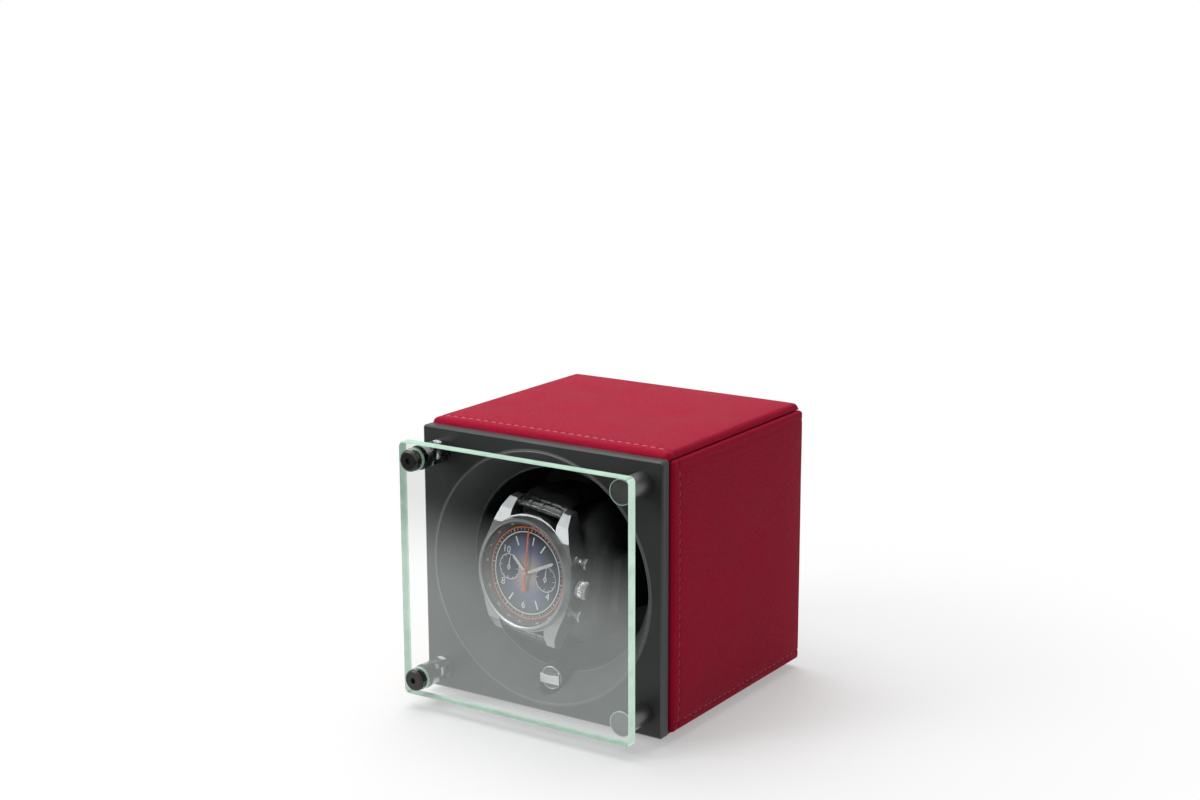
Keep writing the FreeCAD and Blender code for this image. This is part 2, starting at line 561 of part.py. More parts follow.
def make_posts():
    """Jointed hinge posts on the left, plain stop posts on the right, their screws, pins and magnets."""
    west, east = "-post_x", "post_x"
    reach = "pivot_reach - hinge_base"
    pins, screws, magnets, stops = [], [], [], []
    for label, z in (("upper", "post_high"), ("lower", "post_low")):
        tag = label.title()
        base = rod(tag + "Base", "post_dia", "hinge_base", west, "plate_front", z, "-Y")
        arms = fuse(tag + "ForkBlank", [
            block(tag + "ForkArm", "2 * fork_round", reach, "tongue_thick + 2 * fork_gap + 2 * cheek_thick",
                  west, "pivot_y", z),
            rod(tag + "ForkEye", "2 * fork_round", "tongue_thick + 2 * fork_gap + 2 * cheek_thick", west,
                "pivot_y",
                f"{z} - tongue_thick / 2 - fork_gap - cheek_thick", "+Z")])
        fork = common(tag + "Fork", arms, rod(tag + "ForkRound", "post_dia", "2 * pivot_reach", west,
                                              "plate_front", z, "-Y"))
        slot = block(tag + "Slot", "post_dia", "fork_round + " + reach, "tongue_thick + 2 * fork_gap", west,
                     "pivot_y - fork_round", z)
        eye = rod(tag + "ForkHole", "pin_dia", "post_dia", west, "pivot_y", f"{z} - post_dia / 2", "+Z")
        tap = rod(tag + "BaseTap", "post_screw_dia", "post_thread", west, "plate_front", z, "-Y")
        keep(cut(label + "_hinge_base", fuse(tag + "BaseBody", [base, fork]), [slot, eye, tap]),
             label + "_hinge_base")
        length = "tongue_thick + 2 * fork_gap + 2 * cheek_thick - 2 * pin_short"
        pins.append(rod(tag + "Pin", "pin_dia", length, west, "pivot_y", f"{z} - ({length}) / 2", "+Z"))

        length = "post_length - disc_thick - catch_gap"
        post = rod(tag + "Stop", "post_dia", length, east, "plate_front", z, "-Y")
        seat = rod(tag + "MagnetSeat", "magnet_dia", "magnet_length", east, f"plate_front - ({length})",
                   z, "+Y")
        tap = rod(tag + "StopTap", "post_screw_dia", "post_thread", east, "plate_front", z, "-Y")
        stops.append(cut(tag + "StopPost", post, [seat, tap]))
        magnets.append(rod(tag + "Magnet", "magnet_dia", "magnet_length", east,
                           f"plate_front - ({length})", z, "+Y"))
        for side, x in (("West", west), ("East", east)):
            shank = rod(tag + side + "Shank", "post_screw_dia", "plate_thick + post_thread", x,
                        "plate_back", z, "-Y")
            head = rod(tag + side + "Head", "post_screw_head", "post_screw_head_thick", x, "plate_back",
                       z, "+Y")
            screws.append(fuse(tag + side + "Screw", [shank, head]))
    keep(group("hinge_pins", pins), "hinge_pins")
    keep(group("stop_posts", stops), "stop_posts")
    keep(group("stop_magnets", magnets), "stop_magnets")
    keep(group("post_screws", screws), "post_screws")


def make_door():
    """Glass pane with its hinge barrels, rings, capped screws and strike discs."""
    pane = body("Pane")
    pad(pane, "y", "0", "glass_thick", lambda s: oblong(s, "glass_width", "glass_height"))
    soften(pane, "Fillet", "glass_corner", lambda e: along(e, Vector(0, 1, 0)))
    soften(pane, "Chamfer", "glass_edge", lambda e: at_y(e, 0) or at_y(e, val("glass_thick")))

    def holes(s):
        for sign in (-1, 1):
            circle(s, "glass_hole_dia", "-post_x", f"{sign} * post_rise / 2")
    pocket(pane, "y", "0", "glass_thick", holes)
    keep(put(pane, "0", "glass_front", "mid_z"), "glass_pane")

    rings, caps, discs = [], [], []
    barrel_front = "glass_back + ring_thick"
    for label, z in (("upper", "post_high"), ("lower", "post_low")):
        tag = label.title()
        drum = rod(tag + "Drum", "post_dia", f"pivot_y - hinge_shoulder - ({barrel_front})", "-post_x",
                   barrel_front, z, "+Y")
        arm = block(tag + "TongueArm", "2 * tongue_round", f"pivot_y - ({barrel_front})", "tongue_thick",
                    "-post_x",
                    barrel_front, z)
        end = rod(tag + "TongueEnd", "2 * tongue_round", "tongue_thick", "-post_x", "pivot_y",
                  f"{z} - tongue_thick / 2", "+Z")
        eye = rod(tag + "TongueHole", "pin_dia + 2 * pin_clear", "post_dia", "-post_x", "pivot_y",
                  f"{z} - post_dia / 2", "+Z")
        tap = rod(tag + "DrumTap", "cap_shank_dia", "cap_shank_in", "-post_x", barrel_front, z, "+Y")
        keep(cut(label + "_hinge_barrel", fuse(tag + "DrumBody", [drum, arm, end]), [eye, tap]),
             label + "_hinge_barrel")
        rings.append(cut(tag + "Ring", rod(tag + "RingDisc", "post_dia + 2 * ring_lip", "ring_thick",
                                           "-post_x", "glass_back",
                                           z, "+Y"),
                         [rod(tag + "RingBore", "cap_shank_dia", "ring_thick", "-post_x", "glass_back", z,
                              "+Y")]))
        caps.append(make_cap(tag, z))
        discs.append(rod(tag + "Disc", "post_dia", "disc_thick", "post_x", "glass_back", z, "+Y"))
    keep(group("hinge_rings", rings), "hinge_rings")
    keep(group("glass_screws", caps), "glass_screws")
    keep(group("strike_discs", discs), "strike_discs")


def make_cap(tag, z):
    """Button-head screw with a six-lobed socket, through the pane into its barrel."""
    cap = body(tag + "Cap")
    pad(cap, "y", "-cap_height", "cap_height", lambda s: circle(s, "cap_dia"))
    soften(cap, "Fillet", "cap_round", lambda e: at_y(e, -val("cap_height")))
    pad(cap, "y", "0", "glass_thick + ring_thick + cap_shank_in", lambda s: circle(s, "cap_shank_dia"))
    pocket(cap, "y", "-cap_height", "socket_depth", lambda s: circle(s, "socket_dia"))
    for i in range(6):
        turn = math.radians(60 * i)
        pocket(cap, "y", "-cap_height", "socket_depth",
               lambda s: circle(s, "lobe_dia", f"lobe_place * {math.cos(turn):.6f}",
                                f"lobe_place * {math.sin(turn):.6f}"))
    return put(cap, "-post_x", "glass_front", z)


def make_feet():
    feet = []
    for i, (sx, sy) in enumerate(CORNERS):
        x = f"{sx} * (box_width / 2 - foot_inset)"
        y = f"(sleeve_front + sleeve_back) / 2 + {sy} * (sleeve_depth / 2 - foot_inset)"
        feet.append(rod(f"Foot{i}", "foot_dia", "foot_height", x, y, "0", "+Z"))
    keep(group("rubber_feet", feet), "rubber_feet")


def involute_gear(teeth, bore_dia, width, turn):
    """Spur gear about Y from y = 0, with involute flanks, thinned for backlash; turn is in degrees."""
    module = val("gear_module")
    pitch = module * teeth / 2
    pressure = math.radians(val("pressure_angle"))
    base = pitch * math.cos(pressure)
    tip = pitch + val("addendum_ratio") * module
    root = pitch - module - val("tip_clear")
    half_tooth = math.pi / 2 / teeth - val("tooth_backlash") / 2 / pitch

    def spread(radius):
        """Angle of the involute at a radius."""
        if radius <= base:
            return 0.0
        roll = math.sqrt((radius / base) ** 2 - 1)
        return roll - math.atan(roll)
    lean = spread(pitch)

    def spot(radius, angle):
        return Vector(radius * math.sin(angle), 0, radius * math.cos(angle))
    start = max(base, root + val("tip_clear") / 10)
    radii = [start + (tip - start) * i / 4 for i in range(5)]
    parts = []
    for tooth in range(teeth):
        middle = math.radians(turn) + 2 * math.pi * tooth / teeth
        following = middle + 2 * math.pi / teeth
        rise = [spot(r, middle - half_tooth - lean + spread(r)) for r in radii]
        fall = [spot(r, middle + half_tooth + lean - spread(r)) for r in reversed(radii)]
        foot = half_tooth + lean
        flank_up, flank_down = Part.BSplineCurve(), Part.BSplineCurve()
        flank_up.interpolate(rise)
        flank_down.interpolate(fall)
        parts += [Part.makeLine(spot(root, middle - foot), rise[0]), flank_up.toShape(),
                  Part.Arc(rise[-1], spot(tip, middle), fall[0]).toShape(), flank_down.toShape(),
                  Part.makeLine(fall[-1], spot(root, middle + foot)),
                  Part.Arc(spot(root, middle + foot), spot(root, (middle + following) / 2),
                           spot(root, following - foot)).toShape()]
    disc = Part.Face(Part.Wire(parts))
    solid = disc.extrude(Vector(0, width, 0))
    if bore_dia:
        solid = solid.cut(Part.makeCylinder(bore_dia / 2, width, Vector(), Vector(0, 1, 0)))
    return solid


def make_drive():
    """Rotor cup on its shaft, gear pair, bulkhead with bushes, gear motor and board."""
    cup = body("Cup")
    spun(cup, [("0", "cup_length - cup_floor"), ("cup_dia / 2", "cup_length - cup_floor"),
               ("cup_dia / 2", "0"),
               ("cup_dia / 2 + cup_wall", "0"), ("cup_dia / 2 + cup_wall", "cup_length"),
               ("0", "cup_length")])
    pocket(cup, "y", "0", "cup_length", lambda s: circle(s, "shaft_dia"))
    soften(cup, "Fillet", "cup_wall",
           lambda e: at_y(e, val("cup_length")) and e.BoundBox.XLength > val("cup_dia"))
    keep(put(cup, "0", "cup_front", "mid_z"), "rotor_cup")
    keep(rod("rotor_shaft", "shaft_dia", "shaft_back - cup_back + cup_floor", "0", "cup_back - cup_floor",
             "mid_z",
             "+Y"), "rotor_shaft")

    rim = involute_gear(int(val("gear_teeth")), val("shaft_dia"), val("gear_width"), 0)
    sink = (val("gear_width") - val("web_thick")) / 2
    for front in (0, val("gear_width") - sink):
        ring = Part.makeCylinder(val("web_dia / 2"), sink, Vector(0, front, 0), Vector(0, 1, 0))
        rim = rim.cut(ring.cut(Part.makeCylinder(val("hub_dia / 2"), sink, Vector(0, front, 0),
                                                 Vector(0, 1, 0))))
    hub = Part.makeCylinder(val("hub_dia / 2"), val("hub_length"), Vector(0, -val("hub_length"), 0),
                            Vector(0, 1, 0))
    hub = hub.cut(Part.makeCylinder(val("shaft_dia / 2"), val("hub_length"), Vector(0, -val("hub_length"), 0),
                                    Vector(0, 1, 0)))
    keep(put(plain("DriveGear", rim.fuse(hub)), "0", "gear_front", "mid_z"), "drive_gear")

    small = involute_gear(int(val("pinion_teeth")), 0, val("gear_width"),
                          180 - val("motor_lean") + 180 / val("pinion_teeth"))
    stem_length = val("bulkhead_back - gear_front + motor_shaft_in")
    stem = Part.makeCylinder(val("motor_shaft_dia / 2"), stem_length, Vector(), Vector(0, 1, 0))
    keep(put(plain("Pinion", small.fuse(stem)), "motor_x", "gear_front", "motor_z"), "pinion")

    plate = block("BulkheadPlate", "inner_width", "bulkhead_thick", "inner_height", "0", "bulkhead_front",
                  "mid_z")
    studs = [rod(f"Standoff{i}", "standoff_dia", "board_standoff",
                 f"board_x + {sx} * (board_width / 2 - standoff_inset)", "bulkhead_back",
                 f"board_z + {sz} * (board_height / 2 - standoff_inset)", "+Y")
             for i, (sx, sz) in enumerate(CORNERS)]
    bores = [rod("BushSeat", "bush_dia", "bulkhead_thick", "0", "bulkhead_front", "mid_z", "+Y"),
             rod("MotorSeat", "motor_boss_dia", "bulkhead_thick", "motor_x", "bulkhead_front", "motor_z",
                 "+Y")]
    bores += [rod(f"MotorScrewHole{sx}", "motor_screw_dia", "bulkhead_thick",
                  f"motor_x + {sx} * motor_screw_reach", "bulkhead_front", "motor_z", "+Y") for sx in (-1, 1)]
    keep(cut("bulkhead", fuse("BulkheadBody", [plate] + studs), bores), "bulkhead")

    bushes = []
    half = "(bulkhead_thick - bush_gap) / 2"
    for tag, seat, lip in (("Front", "bulkhead_front", "bulkhead_front - bush_flange_thick"),
                           ("Rear", f"bulkhead_back - {half}", "bulkhead_back")):
        sleeve = rod(tag + "Bush", "bush_dia", half, "0", seat, "mid_z", "+Y")
        flange = rod(tag + "BushFlange", "bush_flange_dia", "bush_flange_thick", "0", lip, "mid_z", "+Y")
        bore = rod(tag + "BushBore", "shaft_dia + 2 * bush_clear", "3 * bulkhead_thick", "0",
                   "bulkhead_front - bulkhead_thick", "mid_z", "+Y")
        bushes.append(cut(tag + "BushDone", fuse(tag + "BushBody", [sleeve, flange]), [bore]))
    keep(group("shaft_bushes", bushes), "shaft_bushes")
    keep(cut("shaft_clip", rod("ClipDisc", "clip_dia", "clip_thick", "0", "clip_front", "mid_z", "+Y"),
             [rod("ClipBore", "shaft_dia", "clip_thick", "0", "clip_front", "mid_z", "+Y"),
              block("ClipMouth", "clip_mouth", "clip_thick", "clip_dia", "0", "clip_front",
                    "mid_z - clip_dia / 2")]), "shaft_clip")

    gearbox = rod("Gearbox", "motor_dia", "motor_gearbox", "motor_x", "bulkhead_back", "motor_z", "+Y")
    can = rod("MotorCan", "can_dia", "can_length", "motor_x", "bulkhead_back + motor_gearbox", "motor_z",
              "+Y")
    nose = rod("MotorNose", "motor_boss_dia", "bulkhead_thick", "motor_x", "bulkhead_front", "motor_z", "+Y")
    tail = rod("MotorTail", "motor_boss_dia", "motor_tail", "motor_x",
               "bulkhead_back + motor_gearbox + can_length",
               "motor_z", "+Y")
    holes = [rod("MotorBore", "motor_shaft_dia + 2 * pin_clear",
                 "bulkhead_thick + motor_shaft_in + shaft_end_gap",
                 "motor_x", "bulkhead_front", "motor_z", "+Y")]
    holes += [rod(f"MotorTap{sx}", "motor_screw_dia", "motor_screw_in", f"motor_x + {sx} * motor_screw_reach",
                  "bulkhead_back", "motor_z", "+Y") for sx in (-1, 1)]
    keep(cut("gear_motor", fuse("MotorBody", [gearbox, can, nose, tail]), holes), "gear_motor")
    screws = []
    for sx in (-1, 1):
        x = f"motor_x + {sx} * motor_screw_reach"
        shank = rod(f"MotorShank{sx}", "motor_screw_dia", "bulkhead_thick + motor_screw_in", x,
                    "bulkhead_front",
                    "motor_z", "+Y")
        head = rod(f"MotorHead{sx}", "motor_screw_head", "motor_screw_head_thick", x, "bulkhead_front",
                   "motor_z",
                   "-Y")
        screws.append(fuse(f"MotorScrew{sx}", [shank, head]))
    keep(group("motor_screws", screws), "motor_screws")

    front = "bulkhead_back + board_standoff"
    rear = f"{front} + board_thick"
    board = [block("BoardPlate", "board_width", "board_thick", "board_height", "board_x", front, "board_z"),
             block("BoardChip", "chip_width", "chip_thick", "chip_width", "board_x", rear, "board_z"),
             rod("BoardCapacitor", "capacitor_dia", "capacitor_height",
                 "board_x + board_width / 2 - capacitor_inset",
                 rear, "board_z + board_height / 2 - capacitor_inset", "+Y"),
             block("BoardPlug", "plug_width", "plug_depth", "plug_height", "board_x", rear,
                   "board_z - board_height / 2 + plug_inset")]
    keep(fuse("control_board", board), "control_board")


def make_back():
    """Back plate with its screws, battery bay with cover, and the power inlet."""
    wide, high = "inner_width - 2 * back_clear", "inner_height - 2 * back_clear"
    plate = body("Back")
    pad(plate, "y", "0", "back_thick", lambda s: oblong(s, wide, high))

    def holes(s):
        oblong(s, "bay_width", "bay_height", "0", "-bay_drop")
        circle(s, "inlet_dia", "inlet_x", "inlet_z")
        for sx, sz in CORNERS:
            circle(s, "back_screw_dia", f"{sx} * boss_x", f"{sz} * boss_z")
    pocket(plate, "y", "0", "back_thick", holes)
    for sx, sz in CORNERS:
        pocket(plate, "y", "back_thick / 2", "back_thick / 2",
               lambda s: circle(s, "back_screw_head", f"{sx} * boss_x", f"{sz} * boss_z"))
    keep(put(plate, "0", "back_front", "mid_z"), "back_plate")

    screws = []
    for i, (sx, sz) in enumerate(CORNERS):
        x, z = f"{sx} * boss_x", f"mid_z + {sz} * boss_z"
        reach = "back_screw_length - back_thick / 4 - screw_end_gap"
        shank = rod(f"BackShank{i}", "back_screw_dia", reach, x, "back_rear - back_thick / 4", z, "-Y")
        head = rod(f"BackHead{i}", "back_screw_head", "back_thick / 2", x, "back_rear - back_thick / 2",
                   z, "+Y")
        screws.append(fuse(f"BackScrew{i}", [shank, head]))
    keep(group("back_screws", screws), "back_screws")

    inside_wide, inside_high = "bay_width - 2 * tray_ledge", "bay_height - 2 * tray_ledge"
    tray_front = "back_front - tray_depth"
    tray = cut("battery_tray",
               block("TrayOuter", f"{inside_wide} + 2 * tray_wall", "tray_depth",
                     f"{inside_high} + 2 * tray_wall",
                     "0", tray_front, "bay_z"),
               [block("TrayInner", inside_wide, "tray_depth", inside_high, "0",
                      f"{tray_front} + tray_floor", "bay_z")])
    keep(tray, "battery_tray")

    cells, contacts = [], []
    for i, (sign, flip) in enumerate(((1, 1), (-1, -1))):
        z = f"bay_z + {sign} * cell_pitch / 2"
        can = rod(f"Cell{i}", "cell_dia", "cell_length - cell_nub",
                  f"-cell_length / 2 + {(1 - flip) // 2} * cell_nub",
                  "cell_y", z, "+X")
        nub = rod(f"CellNub{i}", "cell_nub_dia", "cell_nub + nub_root",
                  f"{flip} * cell_length / 2 - {(1 + flip) // 2} * (cell_nub + nub_root)", "cell_y", z, "+X")
        cells.append(fuse(f"CellWhole{i}", [can, nub]))
    keep(group("battery_cells", cells), "battery_cells")
    peg = "contact_room - contact_clear"
    for side in (-1, 1):
        tall = "cell_pitch + contact_width" if side < 0 else "contact_width"
        for sign in ((0,) if side < 0 else (-1, 1)):
            z = f"bay_z + {sign} * cell_pitch / 2"
            strip = block(f"Contact{side}{sign}", "contact_thick", "contact_width", tall,
                          f"{side} * (({inside_wide}) / 2 - contact_thick / 2)",
                          "cell_y - contact_width / 2", z)
            pegs = [rod(f"ContactPeg{side}{sign}{n}", "cell_nub_dia", peg,
                        f"{side} * ({inside_wide}) / 2 - {(side + 1) // 2} * ({peg})", "cell_y",
                        f"bay_z + {n} * cell_pitch / 2", "+X") for n in ((-1, 1) if side < 0 else (sign,))]
            contacts.append(fuse(f"ContactDone{side}{sign}", [strip] + pegs))
    keep(group("battery_contacts", contacts), "battery_contacts")

    cover = body("Cover")
    pad(cover, "y", "cover_gap", "back_thick - cover_gap",
        lambda s: oblong(s, "bay_width - 2 * cover_clear", "bay_height - 2 * cover_clear"))
    pocket(cover, "y", "back_thick - notch_depth", "notch_depth",
           lambda s: oblong(s, "notch_width", "notch_height", "0", "bay_height / 2 - notch_height"))
    keep(put(cover, "0", "back_front", "bay_z"), "battery_cover")

    x, z = "inlet_x", "mid_z + inlet_z"
    barrel = rod("InletBarrel", "inlet_dia", "inlet_length", x, "back_rear", z, "-Y")
    flange = rod("InletFlange", "inlet_flange_dia", "inlet_flange_thick", x, "back_rear", z, "+Y")
    hole = rod("InletHole", "inlet_bore", "inlet_depth + inlet_flange_thick", x,
               "back_rear - inlet_depth", z, "+Y")
    pin = rod("InletPin", "inlet_pin", "inlet_depth - inlet_pin_short", x, "back_rear - inlet_depth", z, "+Y")
    keep(fuse("dc_inlet", [cut("InletShell", fuse("InletBody", [barrel, flange]), [hole]), pin]), "dc_inlet")


def make_watch():
    """Chronograph head: case with lugs, back, bezel, crystal, dial, hands, crown and pushers."""
    case = body("Case")
    front, rear = "-case_front", "case_depth"
    pad(case, "y", front, "case_depth + case_front", lambda s: circle(s, "case_dia"))
    root = "(case_dia / 2 - lug_root_in)"
    for sx, sz in CORNERS:
        pad(case, "y", front, "case_depth + case_front + lug_below",
            lambda s: outline(s, [(f"{sx} * lug_gap / 2", f"{sz} * {root}"),
                                  (f"{sx} * lug_gap / 2", f"{sz} * lug_end"),
                                  (f"{sx} * lug_tip / 2", f"{sz} * lug_end"),
                                  (f"{sx} * (case_dia / 2 - lug_flank_in)", f"{sz} * {root}")]))
    pocket(case, "y", rear, "back_height", lambda s: circle(s, "back_dia + 2 * seat_gap"))
    fall = "(case_dia / 2 - lug_fall_in)"
    beyond = "(lug_end + lug_reach)"
    above = "-case_front - lug_bend_drop"
    for sz in (-1, 1):
        pocket(case, "x", "-case_dia", "2 * case_dia",
               lambda s: outline(s, [(above, f"{sz} * {fall}"), (front, f"{sz} * {fall}"),
                                     ("-case_front + lug_bend_drop", f"{sz} * (case_dia / 2 - lug_bend_in)"),
                                     ("-case_front + lug_nose_drop", f"{sz} * (lug_end - lug_nose_in)"),
                                     ("-case_front + lug_toe_drop", f"{sz} * lug_end"),
                                     ("-case_front + lug_toe_drop", f"{sz} * {beyond}"),
                                     (above, f"{sz} * {beyond}")]))
        pocket(case, "x", "-lug_tip / 2", "lug_tip",
               lambda s: circle(s, "bar_dia", "bar_depth", f"{sz} * bar_place"))
        pocket(case, "y", front, "case_front + case_depth + lug_below",
               lambda s: oblong(s, "lug_gap", "2 * lug_throat", "0", f"{sz} * (lug_end + seat_gap)"))
    pocket(case, "y", front, "case_front + dial_thick", lambda s: circle(s, "dial_dia + 2 * seat_gap"))
    doc.recompute()
    keep(put_on_watch(finish_case(case)), "watch_case")

    back = body("CaseBack")
    pad(back, "y", rear, "back_height", lambda s: circle(s, "back_dia"))
    soften(back, "Chamfer", "back_height / 2", lambda e: at_y(e, val("case_depth + back_height")))
    keep(put_on_watch(back), "case_back")

    bezel = body("Bezel")
    inner, outer = "bezel_bore / 2", "bezel_dia / 2"
    spun(bezel, [(inner, front), (inner, "bezel_top + bezel_lip"), (inner + " + bezel_bevel", "bezel_top"),
                 (inner + " + bezel_bevel + bezel_land", "bezel_top"),
                 (outer + " - bezel_lean", front + " - bezel_skirt"),
                 (outer, front)])
    keep(put_on_watch(bezel), "watch_bezel")

    crystal = body("Crystal")
    dome = "crystal_back - crystal_thick - crystal_rise"
    pad(crystal, "y", dome, "crystal_thick + crystal_rise", lambda s: circle(s, "bezel_bore - 2 * glaze_gap"))
    soften(crystal, "Chamfer", "crystal_rise", lambda e: at_y(e, val(dome)))
    keep(put_on_watch(crystal), "watch_crystal")

    dial = body("Dial")
    pad(dial, "y", "0", "dial_thick", lambda s: circle(s, "dial_dia"))
    rim = "bezel_bore / 2 - rehaut_gap"
    spun(dial, [("rehaut_bore / 2", "0"), (rim, "-rehaut_height"), (rim, "dial_thick"),
                ("rehaut_bore / 2", "dial_thick")])
    for sx in (-1, 1):
        pocket(dial, "y", "0", "counter_sink", lambda s: circle(s, "counter_dia", f"{sx} * counter_place"))
        pad(dial, "y", "counter_sink - counter_arbor_height", "counter_arbor_height",
            lambda s: circle(s, "counter_arbor_dia", f"{sx} * counter_place"))
    pad(dial, "y", "-arbor_height", "arbor_height", lambda s: circle(s, "arbor_dia"))
    keep(put_on_watch(dial), "watch_dial")
    make_hands()
    make_pushers()
    bars = [put_on_watch(bar_rod(f"Bar{sz}", sz)) for sz in (-1, 1)]
    keep(group("spring_bars", bars), "spring_bars")


def bar_rod(name, sign):
    bar = body(name.replace("-", "Low"))
    length = "lug_gap + 2 * bar_reach"
    pad(bar, "x", f"-({length}) / 2", length, lambda s: circle(s, "bar_dia", "bar_depth",
                                                               f"{sign} * bar_place"))
    return bar


def finish_case(case):
    """Stem holes and pusher collars on the case's right flank."""
    for sz in (-1, 1):
        pad(case, "x", "pusher_flank - collar_root", "collar_root + collar_out",
            lambda s: circle(s, "collar_dia", "pusher_depth", f"{sz} * pusher_rise"))
        pocket(case, "x", "pusher_flank - pusher_stem - pusher_travel - stem_end_gap", "case_dia",
               lambda s: circle(s, "pusher_neck + 2 * hand_clear", "pusher_depth", f"{sz} * pusher_rise"))
    pocket(case, "x", "case_dia / 2 - stem_length - stem_end_gap", "case_dia",
           lambda s: circle(s, "crown_stem + 2 * hand_clear", "pusher_depth", "0"))
    return case


def make_hands():
    """Hour, minute and sweep hands stacked on the arbor, and the hands of the two counters."""
    for level, name in enumerate(("hour", "minute", "sweep")):
        piece = body(name.title())
        y = f"-hand_base - {level + 1} * (hand_thick + hand_gap)"
        needle(piece, y, "hand_thick", "0", name, "hand_point")
        if name == "sweep":
            pad(piece, "y", y, "hand_thick",
                lambda s: oblong(s, "weight_width", "weight_length", "0", "weight_length / 2 - sweep_tail"))
        pocket(piece, "y", f"{y} - hand_thick", "3 * hand_thick",
               lambda s: circle(s, "arbor_dia + 2 * hand_clear"))
        keep(put_on_watch(piece, val(name + "_angle")), name + "_hand")
    for label, sx in (("left_counter_hand", -1), ("right_counter_hand", 1)):
        piece = body("Counter" + ("West" if sx < 0 else "East"))
        x = f"{sx} * counter_place"
        y = "counter_sink - counter_hand_lift - counter_hand_thick"
        needle(piece, y, "counter_hand_thick", x, "counter", "counter_point")
        pocket(piece, "y", f"{y} - counter_hand_thick", "3 * counter_hand_thick",
               lambda s: circle(s, "counter_arbor_dia + 2 * hand_clear", x))
        keep(put_on_watch(piece), label)


def needle(piece, y, thick, x, name, point):
    """Pointed hand with a round hub, about an arbor at x; its sizes are those that start with name."""
    half = f"{name}_width / 2"
    length = f"{name}_length"
    pad(piece, "y", y, thick, lambda s: outline(s, [
        (f"{x} - {half}", f"-{name}_tail"), (f"{x} + {half}", f"-{name}_tail"),
        (f"{x} + {half}", f"{length} - {point}"),
        (x, length), (f"{x} - {half}", f"{length} - {point}")]))
    pad(piece, "y", y, thick, lambda s: circle(s, f"{name}_hub", x))


def make_pushers():
    """Crown with its stem, and the two pushers, on the right flank of the case."""
    crown = body("Crown")
    start, end = "case_dia / 2 + crown_gap", "case_dia / 2 + crown_gap + crown_length"
    inside, radius = "case_dia / 2 - stem_length", "crown_dia / 2"
    spun(crown, [(inside, "0"), (inside, "crown_stem / 2"), (start, "crown_stem / 2"),
                 (start, radius + " - crown_inner_edge"), (start + " + crown_inner_edge", radius),
                 (end + " - crown_outer_edge", radius), (end, radius + " - crown_outer_edge"),
                 (end, "0")], "H_Axis")
    keep(shift_in_watch(crown, "pusher_depth", "0"), "crown")
    inside, cap = "pusher_flank - pusher_stem", "pusher_flank + pusher_out"
    neck, wide = "pusher_neck / 2", "pusher_dia / 2"
    for label, sz in (("upper_pusher", 1), ("lower_pusher", -1)):
        piece = body("Pusher" + ("High" if sz > 0 else "Low"))
        spun(piece, [(inside, "0"), (inside, neck), (cap, neck), (cap, neck + " + pusher_flare"),
                     (cap + " + pusher_cap - pusher_rim", wide),
                     (cap + " + pusher_cap", wide + " - pusher_edge"),
                     (cap + " + pusher_cap", "0")], "H_Axis")
        keep(shift_in_watch(piece, "pusher_depth", f"{sz} * pusher_rise"), label)


def shift_in_watch(piece, y, z):
    """Place a body in the watch's frame, moved within that frame."""
    move = watch_turn.multVec(Vector(0, val(y), val(z)))
    return put(piece, f"watch_x + {move.x:.9f}", f"watch_y + {move.y:.9f}",
               f"mid_z + watch_z + {move.z:.9f}", watch_turn)


def strap_wire(sign, inward):
    """Edges along one half of the strap from its bar to the clasp, offset inward from the middle line."""
    bar_y, bar_z = val("bar_depth"), val("bar_place")
    rise, rear, corner = val("strap_rise"), val("strap_rear"), val("strap_corner")
    run, stop = val("strap_front_run"), val("clasp_height") / 2
    drop = rise - bar_z
    radius = (run ** 2 + drop ** 2) / (2 * drop)
    first = Vector(0, bar_y + run, rise - radius)
    second = Vector(0, rear - corner, rise - corner)

    def spot(centre, size, angle):
        turn = math.radians(angle)
        return Vector(0, centre.y + size * math.cos(turn), sign * (centre.z + size * math.sin(turn)))
    open_angle = math.degrees(math.atan2(bar_z - first.z, bar_y - first.y))
    near, far = radius - inward, corner - inward
    return [Part.Arc(spot(first, near, open_angle), spot(first, near, (open_angle + 90) / 2),
                     spot(first, near, 90)),
            Part.LineSegment(spot(first, near, 90), spot(second, far, 90)),
            Part.Arc(spot(second, far, 90), spot(second, far, 45), spot(second, far, 0)),
            Part.LineSegment(spot(second, far, 0), Vector(0, rear - inward, sign * stop))]


def make_strap():
    """Two strap halves looped round the cushion from their bars to the clasp, and the clasp."""
    thick, wide = val("strap_thick"), val("strap_width")
    eye_radius = thick / 2
    for label, sign in (("upper_strap", 1), ("lower_strap", -1)):
        outer = [c.toShape() for c in strap_wire(sign, -thick / 2)]
        inner = [c.toShape() for c in strap_wire(sign, thick / 2)]
        head = Part.makeLine(inner[0].firstVertex().Point, outer[0].firstVertex().Point)
        foot = Part.makeLine(inner[-1].lastVertex().Point, outer[-1].lastVertex().Point)
        band = Part.Face(Part.Wire(Part.__sortEdges__(outer + inner + [head, foot])))
        band = band.extrude(Vector(wide, 0, 0))
        band.translate(Vector(-wide / 2, 0, 0))
        bar = Vector(-wide / 2, val("bar_depth"), sign * val("bar_place"))
        band = band.fuse(Part.makeCylinder(eye_radius, wide, bar, Vector(1, 0, 0)))
        band = band.cut(Part.makeCylinder(val("bar_dia") / 2, wide, bar, Vector(1, 0, 0)))
        keep(put_on_watch(plain(label, band.removeSplitter())), label)
    clasp = body("Clasp")
    pad(clasp, "y", "strap_rear - strap_thick / 2", "strap_thick",
        lambda s: oblong(s, "clasp_width", "clasp_height"))
    soften(clasp, "Fillet", "clasp_round", lambda e: along(e, Vector(0, 0, 1)))
    keep(put_on_watch(clasp), "strap_clasp")


